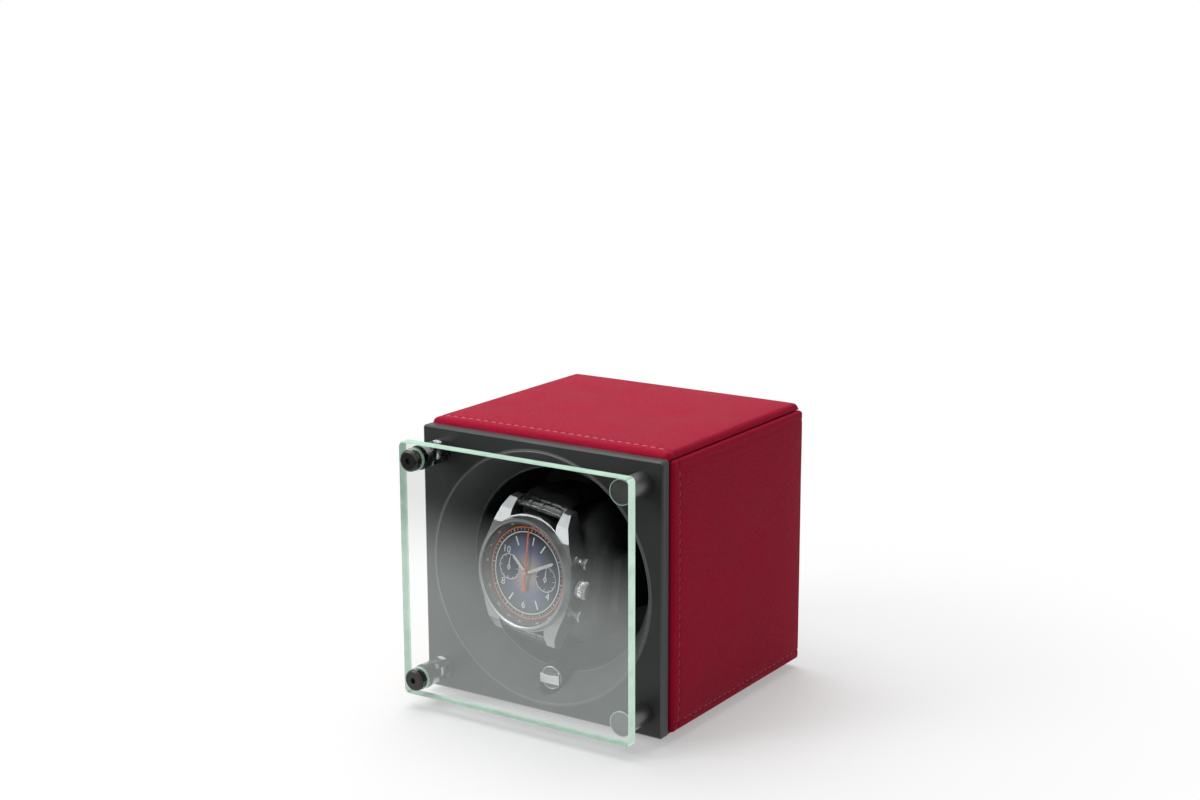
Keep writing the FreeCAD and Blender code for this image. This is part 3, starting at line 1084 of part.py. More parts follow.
def cushion_section(x, half_high, front, rear, corner):
    """Rounded upright section of the cushion at a distance along the watch's own X."""
    low, high = -half_high, half_high
    pts = [(front, low + corner), (front, high - corner), (front + corner, high), (rear - corner, high),
           (rear, high - corner), (rear, low + corner), (rear - corner, low), (front + corner, low)]
    spots = [Vector(x, y, z) for y, z in pts]
    bend = corner * (1 - math.sqrt(0.5))
    knees = {1: (front + bend, high - bend), 3: (rear - bend, high - bend), 5: (rear - bend, low + bend),
             7: (front + bend, low + bend)}
    parts = []
    for i in range(8):
        a, b = spots[i], spots[(i + 1) % 8]
        if i in knees:
            parts.append(Part.Arc(a, Vector(x, *knees[i]), b).toShape())
        else:
            parts.append(Part.makeLine(a, b))
    return Part.Wire(parts)


def make_cushion():
    """Soft pillow with a channel for the strap, bulging beside it and drawn in at its ends."""
    gap = val("strap_gap")
    front, rear = val("cushion_front"), val("cushion_rear")
    high = val("strap_rise - strap_thick / 2") - gap
    half, channel = val("cushion_width") / 2, val("strap_width") / 2 + val("channel_margin")
    crest, corner = channel + val("channel_slope"), val("cushion_corner")
    stations = []
    for share in (1, 0.8, 0.4, 0):
        drop, drawn = val("cushion_end_drop") * share ** 2, val("cushion_end_in") * share ** 3
        stations.append((crest + (half - crest) * share, high + val("cushion_bulge") - drop, drawn))
    stations.append((channel, high, 0))
    sections = [cushion_section(-x, z, front + d, rear - d, corner - d) for x, z, d in stations]
    sections += [cushion_section(x, z, front + d, rear - d, corner - d) for x, z, d in reversed(stations)]
    keep(put_on_watch(plain("Cushion", Part.makeLoft(sections, True, True))), "watch_cushion")


def make_cradle():
    """Fork in the rotor cup that grips the cushion's two ends."""
    base = rod("CradleBase", "cradle_base_dia", "cradle_base", "0", "cup_back - cup_floor - cradle_base",
               "mid_z", "+Y")
    room = rod("CradleRoom", "cup_dia", "cup_length", "0", "cup_back - cup_floor - arm_sink - cup_length",
               "mid_z", "+Y")
    arms = []
    for sx in (-1, 1):
        arm = body("Arm" + ("West" if sx < 0 else "East"))
        x = "cushion_width / 2 + strap_gap" if sx > 0 else "-cushion_width / 2 - strap_gap - arm_thick"
        pad(arm, "x", x, "arm_thick", lambda s: oblong(s, "cup_length + cup_floor", "arm_height",
                                                        "arm_front + (cup_length + cup_floor) / 2", "0"))
        soften(arm, "Fillet", "arm_round",
               lambda e: along(e, Vector(1, 0, 0)) and abs(e.Vertexes[0].Y - val("arm_front")) < 1e-6)
        arms.append(common(f"ArmTrim{sx}", put_on_watch(arm), room))
    keep(fuse("watch_cradle", [base] + arms), "watch_cradle")


def check_and_write():
    """Stop on any failed object, then write one file for each sub-part."""
    doc.recompute()
    for item in doc.Objects:
        if "Invalid" in item.State or "Error" in item.State:
            raise RuntimeError(f"{item.Label} failed: {item.State}")
    for piece in PARTS:
        if piece.Shape.isNull() or not piece.Shape.isValid():
            raise RuntimeError(piece.Label + " has no valid shape")
        if not piece.Shape.Solids:
            raise RuntimeError(piece.Label + " holds no solid")
    os.makedirs("parts", exist_ok=True)
    for piece in PARTS:
        piece.Shape.exportStep(f"parts/{piece.Label}.step")
    print(len(PARTS), "sub-parts written")


make_panels()
make_core()
make_front()
make_selector()
make_posts()
make_door()
make_feet()
make_drive()
make_back()
make_watch()
make_strap()
make_cushion()
make_cradle()
check_and_write()
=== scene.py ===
"""Looks of the watch winder box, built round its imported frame.

Metres, in the part's own frame: X to the right, the front faces -Y, Z up.
"""
import json
import math
import bmesh
import bpy
from mathutils import Matrix, Vector, noise


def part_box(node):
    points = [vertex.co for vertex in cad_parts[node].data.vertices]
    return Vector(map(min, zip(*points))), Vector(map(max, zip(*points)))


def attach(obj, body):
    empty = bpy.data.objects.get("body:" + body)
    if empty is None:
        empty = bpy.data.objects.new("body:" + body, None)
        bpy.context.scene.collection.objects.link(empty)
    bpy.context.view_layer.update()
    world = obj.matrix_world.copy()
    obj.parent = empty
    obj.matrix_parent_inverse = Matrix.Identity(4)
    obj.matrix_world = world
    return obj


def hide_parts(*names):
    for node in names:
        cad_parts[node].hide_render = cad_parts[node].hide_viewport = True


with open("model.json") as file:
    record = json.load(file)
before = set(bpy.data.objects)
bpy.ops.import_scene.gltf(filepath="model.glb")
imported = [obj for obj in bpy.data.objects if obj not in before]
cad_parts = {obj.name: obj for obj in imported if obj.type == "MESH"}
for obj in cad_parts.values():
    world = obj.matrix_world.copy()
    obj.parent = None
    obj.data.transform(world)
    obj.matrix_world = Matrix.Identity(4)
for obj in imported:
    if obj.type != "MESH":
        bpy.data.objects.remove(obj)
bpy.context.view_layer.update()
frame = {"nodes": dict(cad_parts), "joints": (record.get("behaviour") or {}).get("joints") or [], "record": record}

MM = 0.001
X, Z = 0, 2
TINY = 1e-9
NODES = frame["nodes"]
JOINTS = {joint["name"]: joint for joint in frame["joints"]}

# The watch's own frame: X towards three o'clock, Y into the case, Z towards twelve
ARBOR = Vector(JOINTS["minute_spin"]["pos_m"])
INTO = Vector(JOINTS["minute_spin"]["axis"]).normalized()
THREE = Vector(JOINTS["crown_turn"]["axis"]).normalized()
TWELVE = THREE.cross(INTO)
WATCH = Matrix.Translation(ARBOR) @ Matrix((THREE, INTO, TWELVE)).transposed().to_4x4()
# Middle of each counter, measured from the arbor
COUNTERS = [Vector(JOINTS[side + "_counter_spin"]["pos_m"]) - ARBOR for side in ("left", "right")]


def watch_box(name):
    """Lowest and highest corner of a CAD node in the watch's frame."""
    back = WATCH.inverted()
    points = [back @ v.co for v in NODES[name].data.vertices]
    low = Vector([min(p[i] for p in points) for i in range(3)])
    high = Vector([max(p[i] for p in points) for i in range(3)])
    return low, high


# Shader helpers: mat is a material or the world

def feed(mat, socket, value):
    """Link a socket into an input, or set the input to a plain value."""
    if isinstance(value, bpy.types.NodeSocket):
        mat.node_tree.links.new(value, socket)
    else:
        socket.default_value = value


def node(mat, kind, inputs=None, **settings):
    """Add a shader node with its settings and inputs."""
    made = mat.node_tree.nodes.new("ShaderNode" + kind)
    for key, value in settings.items():
        setattr(made, key, value)
    for key, value in (inputs or {}).items():
        feed(mat, made.inputs[key], value)
    return made


def principled(name, color, roughness, inputs=None):
    """Material with one Principled shader; inputs sets more of its sockets."""
    mat = bpy.data.materials.new(name)
    mat.use_nodes = True
    shader = surface(mat)
    shader.inputs["Base Color"].default_value = (*color, 1)
    shader.inputs["Roughness"].default_value = roughness
    for key, value in (inputs or {}).items():
        shader.inputs[key].default_value = value
    mat.diffuse_color = (*color, 1)
    return mat


def surface(mat):
    return next(n for n in mat.node_tree.nodes if n.type == "BSDF_PRINCIPLED")


def mix_shaders(mat, share, first, second):
    """Shader that goes from the first to the second as share goes from 0 to 1."""
    made = node(mat, "MixShader", {0: share})
    for slot, shader in ((1, first), (2, second)):
        feed(mat, made.inputs[slot], shader.outputs[0])
    return made


def show(mat, shader):
    """Make a shader the surface of its material."""
    feed(mat, mat.node_tree.nodes["Material Output"].inputs["Surface"], shader.outputs[0])


def place(mat):
    return node(mat, "TexCoord").outputs["Object"]


def speckle(mat, size, detail=3.0):
    """Noise between 0 and 1 with lumps of about the given size."""
    return node(mat, "TexNoise", {"Vector": place(mat), "Scale": 1 / size, "Detail": detail}).outputs["Fac"]


def math_node(mat, operation, a, b=0.0):
    return node(mat, "Math", {0: a, 1: b}, operation=operation).outputs[0]


def vector_node(mat, operation, a, b, output):
    return node(mat, "VectorMath", {0: a, 1: b}, operation=operation).outputs[output]


def length_of(mat, x, z):
    """Length of a flat vector."""
    squares = [math_node(mat, "MULTIPLY", side, side) for side in (x, z)]
    return math_node(mat, "SQRT", math_node(mat, "ADD", *squares))


def spread(mat, value, low, high):
    """Map 0..1 onto low..high."""
    return node(mat, "MapRange", {"Value": value, "To Min": low, "To Max": high}).outputs["Result"]


def eased(mat, value, low, high, start=0.0):
    """Smooth step from start to 1 as a value goes from low to high."""
    inputs = {"Value": value, "From Min": low, "From Max": high, "To Min": start}
    return node(mat, "MapRange", inputs, interpolation_type="SMOOTHSTEP").outputs["Result"]


def ramp(mat, value, stops):
    """Colour ramp through (position, colour) stops."""
    made = node(mat, "ValToRGB", {"Fac": value})
    elements = made.color_ramp.elements
    while len(elements) < len(stops):
        elements.new(1.0)
    for element, (position, color) in zip(elements, stops):
        element.position = position
        element.color = (*color, 1)
    return made.outputs["Color"]


def shade(color, factor):
    return tuple(min(1.0, c * factor) for c in color)


def tones(mat, value, color, dark, light, ends=(0.3, 0.7)):
    """Colour that drifts between a darker and a lighter tone."""
    return ramp(mat, value, [(ends[0], shade(color, dark)), (ends[1], shade(color, light))])


def blend_colors(mat, factor, first, second):
    """Colour that goes from the first to the second as factor goes from 0 to 1."""
    made = node(mat, "Mix", data_type="RGBA")
    feed(mat, made.inputs[0], factor)
    # The node's sockets for colours come after those for numbers and vectors
    for slot, value in ((6, first), (7, second)):
        feed(mat, made.inputs[slot], value if isinstance(value, bpy.types.NodeSocket) else (*value, 1))
    return made.outputs[2]


def roughen(mat, height, depth):
    """Bump from a height between 0 and 1 that stands for depth metres."""
    made = node(mat, "Bump", {"Height": height, "Distance": depth, "Strength": 1.0})
    feed(mat, surface(mat).inputs["Normal"], made.outputs["Normal"])


# Materials

MOTTLE = 14 * MM
CLOUD = 22 * MM
SMEAR = 6 * MM
SCRATCH = 0.5 * MM
SCRATCH_DEPTH = 0.0008 * MM
DUST = 9 * MM


def leather(name, color, pebble, gloss, depth, inputs=None):
    """Grained leather: pebbles with fine creases between them, painted darker in the creases as shade, mottled in
    colour and shine.
    """
    crease_edge, crease_shade_share, crease_shade_tone = 0.22, 0.22, 0.45
    pebble_height, fine_height, fine_size = 0.7, 0.5, 0.35
    drift_size, drift_reach, shine_drift = 0.4, 0.8, 0.07
    mat = principled(name, color, gloss, inputs)
    drift = node(mat, "TexNoise", {"Vector": place(mat), "Scale": drift_size / pebble, "Detail": 2.0})
    bent = vector_node(mat, "MULTIPLY", drift.outputs["Color"], (pebble * drift_reach,) * 3, 0)
    moved = vector_node(mat, "ADD", place(mat), bent, 0)
    cells = node(mat, "TexVoronoi", {"Vector": moved, "Scale": 1 / pebble}, feature="DISTANCE_TO_EDGE")
    edge = {"Value": cells.outputs["Distance"], "From Max": crease_edge}
    crease = node(mat, "MapRange", edge).outputs["Result"]
    mottle = speckle(mat, MOTTLE, 4.0)
    # Painted shade: the creases between the pebbles darken the colour
    dark = math_node(mat, "MULTIPLY", math_node(mat, "SUBTRACT", 1.0, crease), crease_shade_share)
    tone = tones(mat, mottle, color, dark=0.95, light=1.05)
    feed(mat, surface(mat).inputs["Base Color"], blend_colors(mat, dark, tone, shade(color, crease_shade_tone)))
    shine = spread(mat, mottle, gloss - shine_drift, gloss + shine_drift)
    shine = math_node(mat, "ADD", shine, spread(mat, crease, shine_drift, 0.0))
    feed(mat, surface(mat).inputs["Roughness"], shine)
    raised = math_node(mat, "MULTIPLY", crease, pebble_height)
    fine = math_node(mat, "MULTIPLY", speckle(mat, pebble * fine_size), fine_height)
    roughen(mat, math_node(mat, "ADD", raised, fine), depth)
    return mat


def moulded(name, color, gloss, texture=0.35 * MM, depth=0.02 * MM, inputs=None):
    """Moulded or painted surface with a fine even texture and a faint change of tone."""
    smoother, rougher, grit_share = 0.05, 0.03, 0.05
    mat = principled(name, color, gloss, inputs)
    cloud, grit = speckle(mat, CLOUD), speckle(mat, texture, 2.0)
    feed(mat, surface(mat).inputs["Base Color"], tones(mat, cloud, color, dark=0.88, light=1.12))
    shine = spread(mat, cloud, gloss - smoother, gloss + rougher)
    shine = math_node(mat, "ADD", shine, spread(mat, grit, -grit_share, grit_share))
    feed(mat, surface(mat).inputs["Roughness"], shine)
    roughen(mat, grit, depth)
    return mat


def metal(name, color, gloss):
    """Polished or turned metal with fine scratches and faint smears."""
    mat = principled(name, color, gloss, {"Metallic": 1.0})
    scratches, smear = speckle(mat, SCRATCH, 4.0), speckle(mat, SMEAR)
    tone = tones(mat, smear, color, dark=0.93, light=1.04, ends=(0.25, 0.75))
    feed(mat, surface(mat).inputs["Base Color"], tone)
    shine = spread(mat, smear, gloss * 0.8, gloss * 1.2)
    shine = math_node(mat, "ADD", shine, spread(mat, scratches, -gloss / 3, gloss / 3))
    feed(mat, surface(mat).inputs["Roughness"], shine)
    roughen(mat, scratches, SCRATCH_DEPTH)
    return mat


def clear(name, tint, ior, gloss):
    """Thin clear glass: see-through, with a mirror on its outer side that follows Fresnel, and faint dust."""
    mirror_tint, dust_share = (0.94, 1.0, 0.98), 0.08
    mat = bpy.data.materials.new(name)
    mat.use_nodes = True
    mat.node_tree.nodes.remove(surface(mat))
    through = node(mat, "BsdfTransparent", {"Color": (*tint, 1)})
    mirror = node(mat, "BsdfGlossy", {"Color": (*mirror_tint, 1), "Roughness": gloss})
    facing = node(mat, "Fresnel", {"IOR": ior}).outputs["Fac"]
    outside = math_node(mat, "SUBTRACT", 1.0, node(mat, "NewGeometry").outputs["Backfacing"])
    dust = spread(mat, speckle(mat, DUST, 5.0), 1 - dust_share, 1 + dust_share)
    share = math_node(mat, "MULTIPLY", math_node(mat, "MULTIPLY", facing, outside), dust)
    show(mat, mix_shaders(mat, share, through, mirror))
    return mat


def glass_edge(name, green, glow):
    """Ground edge of the pane in mint green, with a painted glow that stands in for the light from inside."""
    gloss, patch, grit, grit_depth = 0.3, 5 * MM, 0.3 * MM, 0.01 * MM
    mat = principled(name, green, gloss, {"Emission Strength": glow})
    tone = tones(mat, speckle(mat, patch), green, dark=0.82, light=1.06)
    feed(mat, surface(mat).inputs["Base Color"], tone)
    feed(mat, surface(mat).inputs["Emission Color"], tone)
    roughen(mat, speckle(mat, grit), grit_depth)
    return mat


# Distances that stand for 1 in the paint of the dial and of its counters
DIAL_REACH = 20 * MM
COUNTER_REACH = 10 * MM
COUNTER_EDGE = 0.455
DIAL_GRAIN = 0.25 * MM
DIAL_GRAIN_DEPTH = 0.003 * MM


def along_watch(mat, axis):
    """Distance of a point from the arbor along an axis of the watch."""
    offset = vector_node(mat, "SUBTRACT", place(mat), ARBOR, "Vector")
    return vector_node(mat, "DOT_PRODUCT", offset, axis, "Value")


def dial_paint(name):
    """Sunburst dial: pale brown in the middle, blue-black outside, rings, two dark-blue counters, and a painted
    sunburst highlight in two opposite bluish wedges.
    """
    mat = principled(name, (0.1, 0.09, 0.1), 0.32, {"Coat Weight": 0.4, "Coat Roughness": 0.08})
    white, orange = (0.8, 0.8, 0.8), (0.9, 0.2, 0.05)
    night, tachymeter = (0.012, 0.013, 0.02), (0.05, 0.016, 0.018)
    ray_turn, ray_wide, ray_highlight_share, ray_highlight_color = 0.4, 0.7, 0.35, (0.16, 0.2, 0.32)
    ray_full, ray_end = 0.6, 0.7
    x, z = along_watch(mat, THREE), along_watch(mat, TWELVE)
    share = math_node(mat, "DIVIDE", length_of(mat, x, z), DIAL_REACH)
    rings = ramp(mat, share, [
        (0.0, (0.62, 0.5, 0.45)), (0.2, (0.42, 0.34, 0.34)), (0.42, (0.08, 0.1, 0.2)),
        (0.66, (0.012, 0.013, 0.026)), (0.706, night), (0.711, white), (0.724, white), (0.729, night),
        (0.788, night), (0.793, orange), (0.806, orange), (0.811, tachymeter), (1.0, tachymeter)])
    # Painted highlight: two opposite bluish wedges, kept to the inner part of the dial, stand in for the sunburst
    # finish catching the light
    angle = math_node(mat, "ADD", math_node(mat, "ARCTAN2", x, z), ray_turn)
    rays = math_node(mat, "ABSOLUTE", math_node(mat, "SINE", angle))
    fall = {"Value": rays, "From Min": 0.0, "From Max": ray_wide, "To Min": ray_highlight_share, "To Max": 0.0}
    inner = {"Value": share, "From Min": ray_end, "From Max": ray_full}
    glow, inside = (node(mat, "MapRange", inputs).outputs["Result"] for inputs in (fall, inner))
    color = blend_colors(mat, math_node(mat, "MULTIPLY", glow, inside), rings, ray_highlight_color)
    for centre in COUNTERS:
        gap = math_node(mat, "SUBTRACT", x, centre.dot(THREE))
        away = math_node(mat, "DIVIDE", length_of(mat, gap, z), COUNTER_REACH)
        disc = ramp(mat, away, [(0.0, (0.012, 0.02, 0.06)), (0.42, (0.01, 0.014, 0.045)), (0.43, white),
                                (COUNTER_EDGE, white)])
        color = blend_colors(mat, math_node(mat, "LESS_THAN", away, COUNTER_EDGE), color, disc)
    feed(mat, surface(mat).inputs["Base Color"], color)
    roughen(mat, speckle(mat, DIAL_GRAIN), DIAL_GRAIN_DEPTH)
    return mat


def make_materials():
    """One material for each slot of the record, and a few for the pieces made here.

    Leather has a colour, pebble size, roughness and depth; a moulded one a colour, roughness, texture size
    and depth; metal a colour and roughness; clear glass a tint, IOR and roughness; an edge a colour and glow.
    """
    made = {}

    def add(kind, name, *look, **more):
        made[name] = kind(name, *look, **more)

    lacquered, half_metal = {"Coat Weight": 0.6, "Coat Roughness": 0.12}, {"Metallic": 0.4}
    dull, satin = {"Specular IOR Level": 0.035}, {"Specular IOR Level": 0.35}
    add(leather, "red_leather", (0.35, 0.006, 0.03), 0.8 * MM, 0.5, 0.06 * MM, dull)
    # Thread in two copies, painted light and shade: a darker one for the sides and bottom and a lighter one for
    # the top
    add(moulded, "thread", (0.30, 0.018, 0.04), 0.6, 0.2 * MM, 0.05 * MM)
    add(moulded, "thread_light", (0.52, 0.075, 0.12), 0.6, 0.2 * MM, 0.05 * MM)
    add(moulded, "black_plate", (0.018, 0.019, 0.0195), 0.42, 0.3 * MM, 0.012 * MM, satin)
    # Lighter, half-metallic finish on the plate's chamfers, a painted highlight line along its edges
    add(moulded, "plate_edge", (0.06, 0.061, 0.062), 0.34, 0.3 * MM, 0.006 * MM, half_metal)
    add(moulded, "black_plastic", (0.016, 0.0165, 0.017), 0.5, 0.6 * MM, 0.004 * MM)
    # The funnel's black plastic made lighter, painted light for what its slope catches from above
    add(moulded, "bowl_satin", (0.075, 0.078, 0.078), 0.55, 0.6 * MM, 0.004 * MM)
    add(moulded, "knob_black", (0.055, 0.056, 0.058), 0.4)
    add(metal, "rim_bright", (0.3, 0.3, 0.3), 0.34)
    # Lighter grey for the thin lips round the bowl, a painted highlight line
    add(moulded, "lip_grey", (0.09, 0.092, 0.092), 0.35)
    add(metal, "grip_bright", (0.62, 0.62, 0.63), 0.34)
    add(clear, "clear_glass", (0.985, 0.995, 0.99), 2.6, 0.02)
    # Edge glow, painted light: the level edges and the green rings take the darker, dimmer copy as painted shade,
    # and the upright edges take the paler, brighter copy as painted light
    add(glass_edge, "glass_edge", (0.36, 0.56, 0.43), 0.12)
    add(glass_edge, "glass_side", (0.62, 0.84, 0.69), 0.32)
    add(metal, "hinge_polished", (0.27, 0.275, 0.28), 0.27)
    add(moulded, "post_dark", (0.13, 0.132, 0.13), 0.36, inputs={"Metallic": 0.8})
    add(moulded, "cap_black", (0.012, 0.012, 0.013), 0.24)
    add(metal, "steel", (0.6, 0.6, 0.61), 0.26)
    add(metal, "magnet", (0.68, 0.68, 0.7), 0.16)
    add(moulded, "rubber", (0.02, 0.02, 0.02), 0.8, 0.4 * MM, 0.04 * MM)
    add(metal, "bronze", (0.6, 0.4, 0.2), 0.35)
    add(metal, "motor_steel", (0.58, 0.58, 0.56), 0.3)
    add(moulded, "board_green", (0.02, 0.16, 0.06), 0.35)
    add(moulded, "cell_wrap", (0.08, 0.08, 0.09), 0.3)
    add(metal, "contact_nickel", (0.7, 0.68, 0.62), 0.2)
    add(moulded, "inlet_black", (0.018, 0.018, 0.018), 0.35)
    add(moulded, "gear_white", (0.8, 0.79, 0.74), 0.4)
    add(metal, "watch_steel", (0.37, 0.37, 0.38), 0.33)
    add(clear, "watch_crystal", (0.99, 0.99, 1.0), 1.6, 0.01)
    add(dial_paint, "dial_brown")
    add(moulded, "hand_silver", (0.85, 0.84, 0.81), 0.28, inputs={"Metallic": 0.3})
    add(moulded, "hand_orange", (0.85, 0.17, 0.04), 0.35)
    add(leather, "strap_black", (0.008, 0.008, 0.009), 0.5 * MM, 0.2, 0.02 * MM, lacquered)
    add(leather, "cushion_black", (0.012, 0.012, 0.013), 0.8 * MM, 0.45, 0.06 * MM)
    add(moulded, "print_white", (0.8, 0.8, 0.78), 0.5)
    return made


MATERIALS = make_materials()
PANE_RIM = 2.5 * MM
FLAT_FACE = 0.9
CHAMFER = (0.3, 0.95)


def dress_nodes():
    """Give each CAD node the material of its slot, and the bowl, pane edges and plate chamfers their own."""
    for part in frame["record"]["subparts"]:
        mesh = NODES[part["node"]].data
        mesh.materials.clear()
        mesh.materials.append(MATERIALS[part["material_slot"]])
    # The funnel takes the lighter black, painted light
    NODES["bowl_funnel"].data.materials[0] = MATERIALS["bowl_satin"]
    pane = NODES["glass_pane"].data
    # Painted light by direction: level edges take the dim glowing edge and upright edges take the bright one
    pane.materials.append(MATERIALS["glass_edge"])
    pane.materials.append(MATERIALS["glass_side"])
    clear_slot, level_slot, upright_slot = range(3)
    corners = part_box("glass_pane")
    for polygon in pane.polygons:
        upright = abs(polygon.normal.x) > abs(polygon.normal.z)
        outer = any(abs(polygon.center[i] - corner[i]) < PANE_RIM for corner in corners for i in (X, Z))
        if abs(polygon.normal.y) > FLAT_FACE or not outer:
            polygon.material_index = clear_slot
        else:
            polygon.material_index = upright_slot if upright else level_slot
    plate = NODES["front_plate"].data
    # The chamfers take the lighter finish, a painted highlight
    plate.materials.append(MATERIALS["plate_edge"])
    for polygon in plate.polygons:
        polygon.material_index = 1 if CHAMFER[0] < abs(polygon.normal.y) < CHAMFER[1] else 0


# Mesh helpers

def piece(name, verts, faces, material, body, smooth=True):
    """New mesh object that rides on a body and takes one of the script's materials by name."""
    mesh = bpy.data.meshes.new(name)
    mesh.from_pydata([tuple(v) for v in verts], [], faces)
    made = bmesh.new()
    made.from_mesh(mesh)
    bmesh.ops.recalc_face_normals(made, faces=made.faces)
    made.to_mesh(mesh)
    made.free()
    for polygon in mesh.polygons:
        polygon.use_smooth = smooth
    mesh.materials.append(MATERIALS[material])
    obj = bpy.data.objects.new(name, mesh)
    bpy.context.scene.collection.objects.link(obj)
    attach(obj, body)
    return obj


def baked(obj):
    """Mesh of an object with its modifiers applied."""
    return bpy.data.meshes.new_from_object(obj.evaluated_get(bpy.context.evaluated_depsgraph_get()))


def grid_faces(rows, columns, closed=False, start=0):
    """Quads of a grid of points stored row by row; closed joins its last column to its first."""
    faces = []
    for r in range(rows - 1):
        for c in range(columns if closed else columns - 1):
            n = (c + 1) % columns
            a, b = start + r * columns, start + (r + 1) * columns
            faces.append((a + c, a + n, b + n, b + c))
    return faces


def turned(points, sides, matrix, ripple=None):
    """Surface of revolution about local Y through (radius, y) points; ripple changes a radius by angle."""
    verts = []
    for i, (radius, y) in enumerate(points):
        for k in range(sides):
            turn = 2 * math.pi * k / sides
            size = radius + (ripple(i, turn) if ripple else 0.0)
            verts.append(matrix @ Vector((size * math.sin(turn), y, size * math.cos(turn))))
    return verts, grid_faces(len(points), sides, closed=True)


class Thread:
    """Collects stitches, each a short bent strand, for one mesh."""
    LONG, THICK, SIDES = 2.6 * MM, 0.6 * MM, 7
    # Rings of a strand: place along its half length, swell and lift as shares of its radius
    SHAPE = ((-1.0, 0.25, -0.5), (-0.82, 0.8, 0.0), (-0.4, 1.0, 0.42), (0.0, 1.0, 0.55), (0.4, 1.0, 0.42),
             (0.82, 0.8, 0.0), (1.0, 0.25, -0.5))

    def __init__(self, long=LONG, thick=THICK):
        self.long, self.thick = long, thick
        self.verts, self.faces = [], []

    def stitch(self, centre, along, normal):
        along, normal = along.normalized(), normal.normalized()
        across = along.cross(normal)
        start, radius = len(self.verts), self.thick / 2
        for t, swell, lift in self.SHAPE:
            middle = centre + along * (t * self.long / 2) + normal * (lift * radius)
            for k in range(self.SIDES):
                turn = 2 * math.pi * k / self.SIDES
                out = across * math.cos(turn) + normal * math.sin(turn)
                self.verts.append(middle + out * (radius * swell))
        rings = len(self.SHAPE)
        self.faces += grid_faces(rings, self.SIDES, True, start)
        self.faces.append(tuple(start + k for k in range(self.SIDES)))
        self.faces.append(tuple(start + (rings - 1) * self.SIDES + k for k in reversed(range(self.SIDES))))


# Leather-covered boards

# Grid lines, in millimetres from an edge and from a hem
EDGE_LINES = (0.0, 0.1, 0.25, 0.45, 0.7, 1.0, 1.4, 1.8, 2.3)
HEM_LINES = (-0.9, -0.55, -0.25, 0.0, 0.25, 0.55, 0.9)
LEAST_GAP = 0.07 * MM
BOARD_STEP = 0.85 * MM
BOARD_ROUND = 1.15 * MM
CORNER_ROUND = 1.3 * MM
PUFF = 0.8 * MM
# How far the padding takes to fill out from the sides, the front and the back
SOFT_EDGES = (6.5 * MM, 6.5 * MM, 3.2 * MM, 6.5 * MM)
SINK = 0.2 * MM
WAVE = 0.05 * MM
WAVE_SCALE = 60
CREASE_DEPTH = 0.16 * MM
CREASE_WIDE = 0.5 * MM
HEM_DEPTH = 0.34 * MM
HEM_WIDE = 0.45 * MM
HEM_LEVEL, HEM_PULL = 0.7, 0.3
STITCH_PITCH = 3.3 * MM
STITCH_MARGIN = 3 * MM
STITCH_SLANT = 0.06
# Wall under the rolled edge: its inset at the foot, and heights as shares of the board
TUCK = 0.18 * MM
WALL_SHARE = 0.35
FRONT_LAP = 0.75
LAP_EDGE = 0.3 * MM
LAP_SHARES = (0.55, 0.45)


def board_lines(length, hems):
    """Places of the grid lines across a board, close together at its edges and hems."""
    lines = [e * MM for e in EDGE_LINES] + [length - e * MM for e in EDGE_LINES]
    for hem in hems:
        lines += [hem + h * MM for h in HEM_LINES]
    count = int(length / BOARD_STEP)
    lines += [length * i / count for i in range(1, count)]
    kept = []
    for line in sorted(lines):
        if not kept or line - kept[-1] > LEAST_GAP:
            kept.append(line)
    kept[-1] = length
    return kept


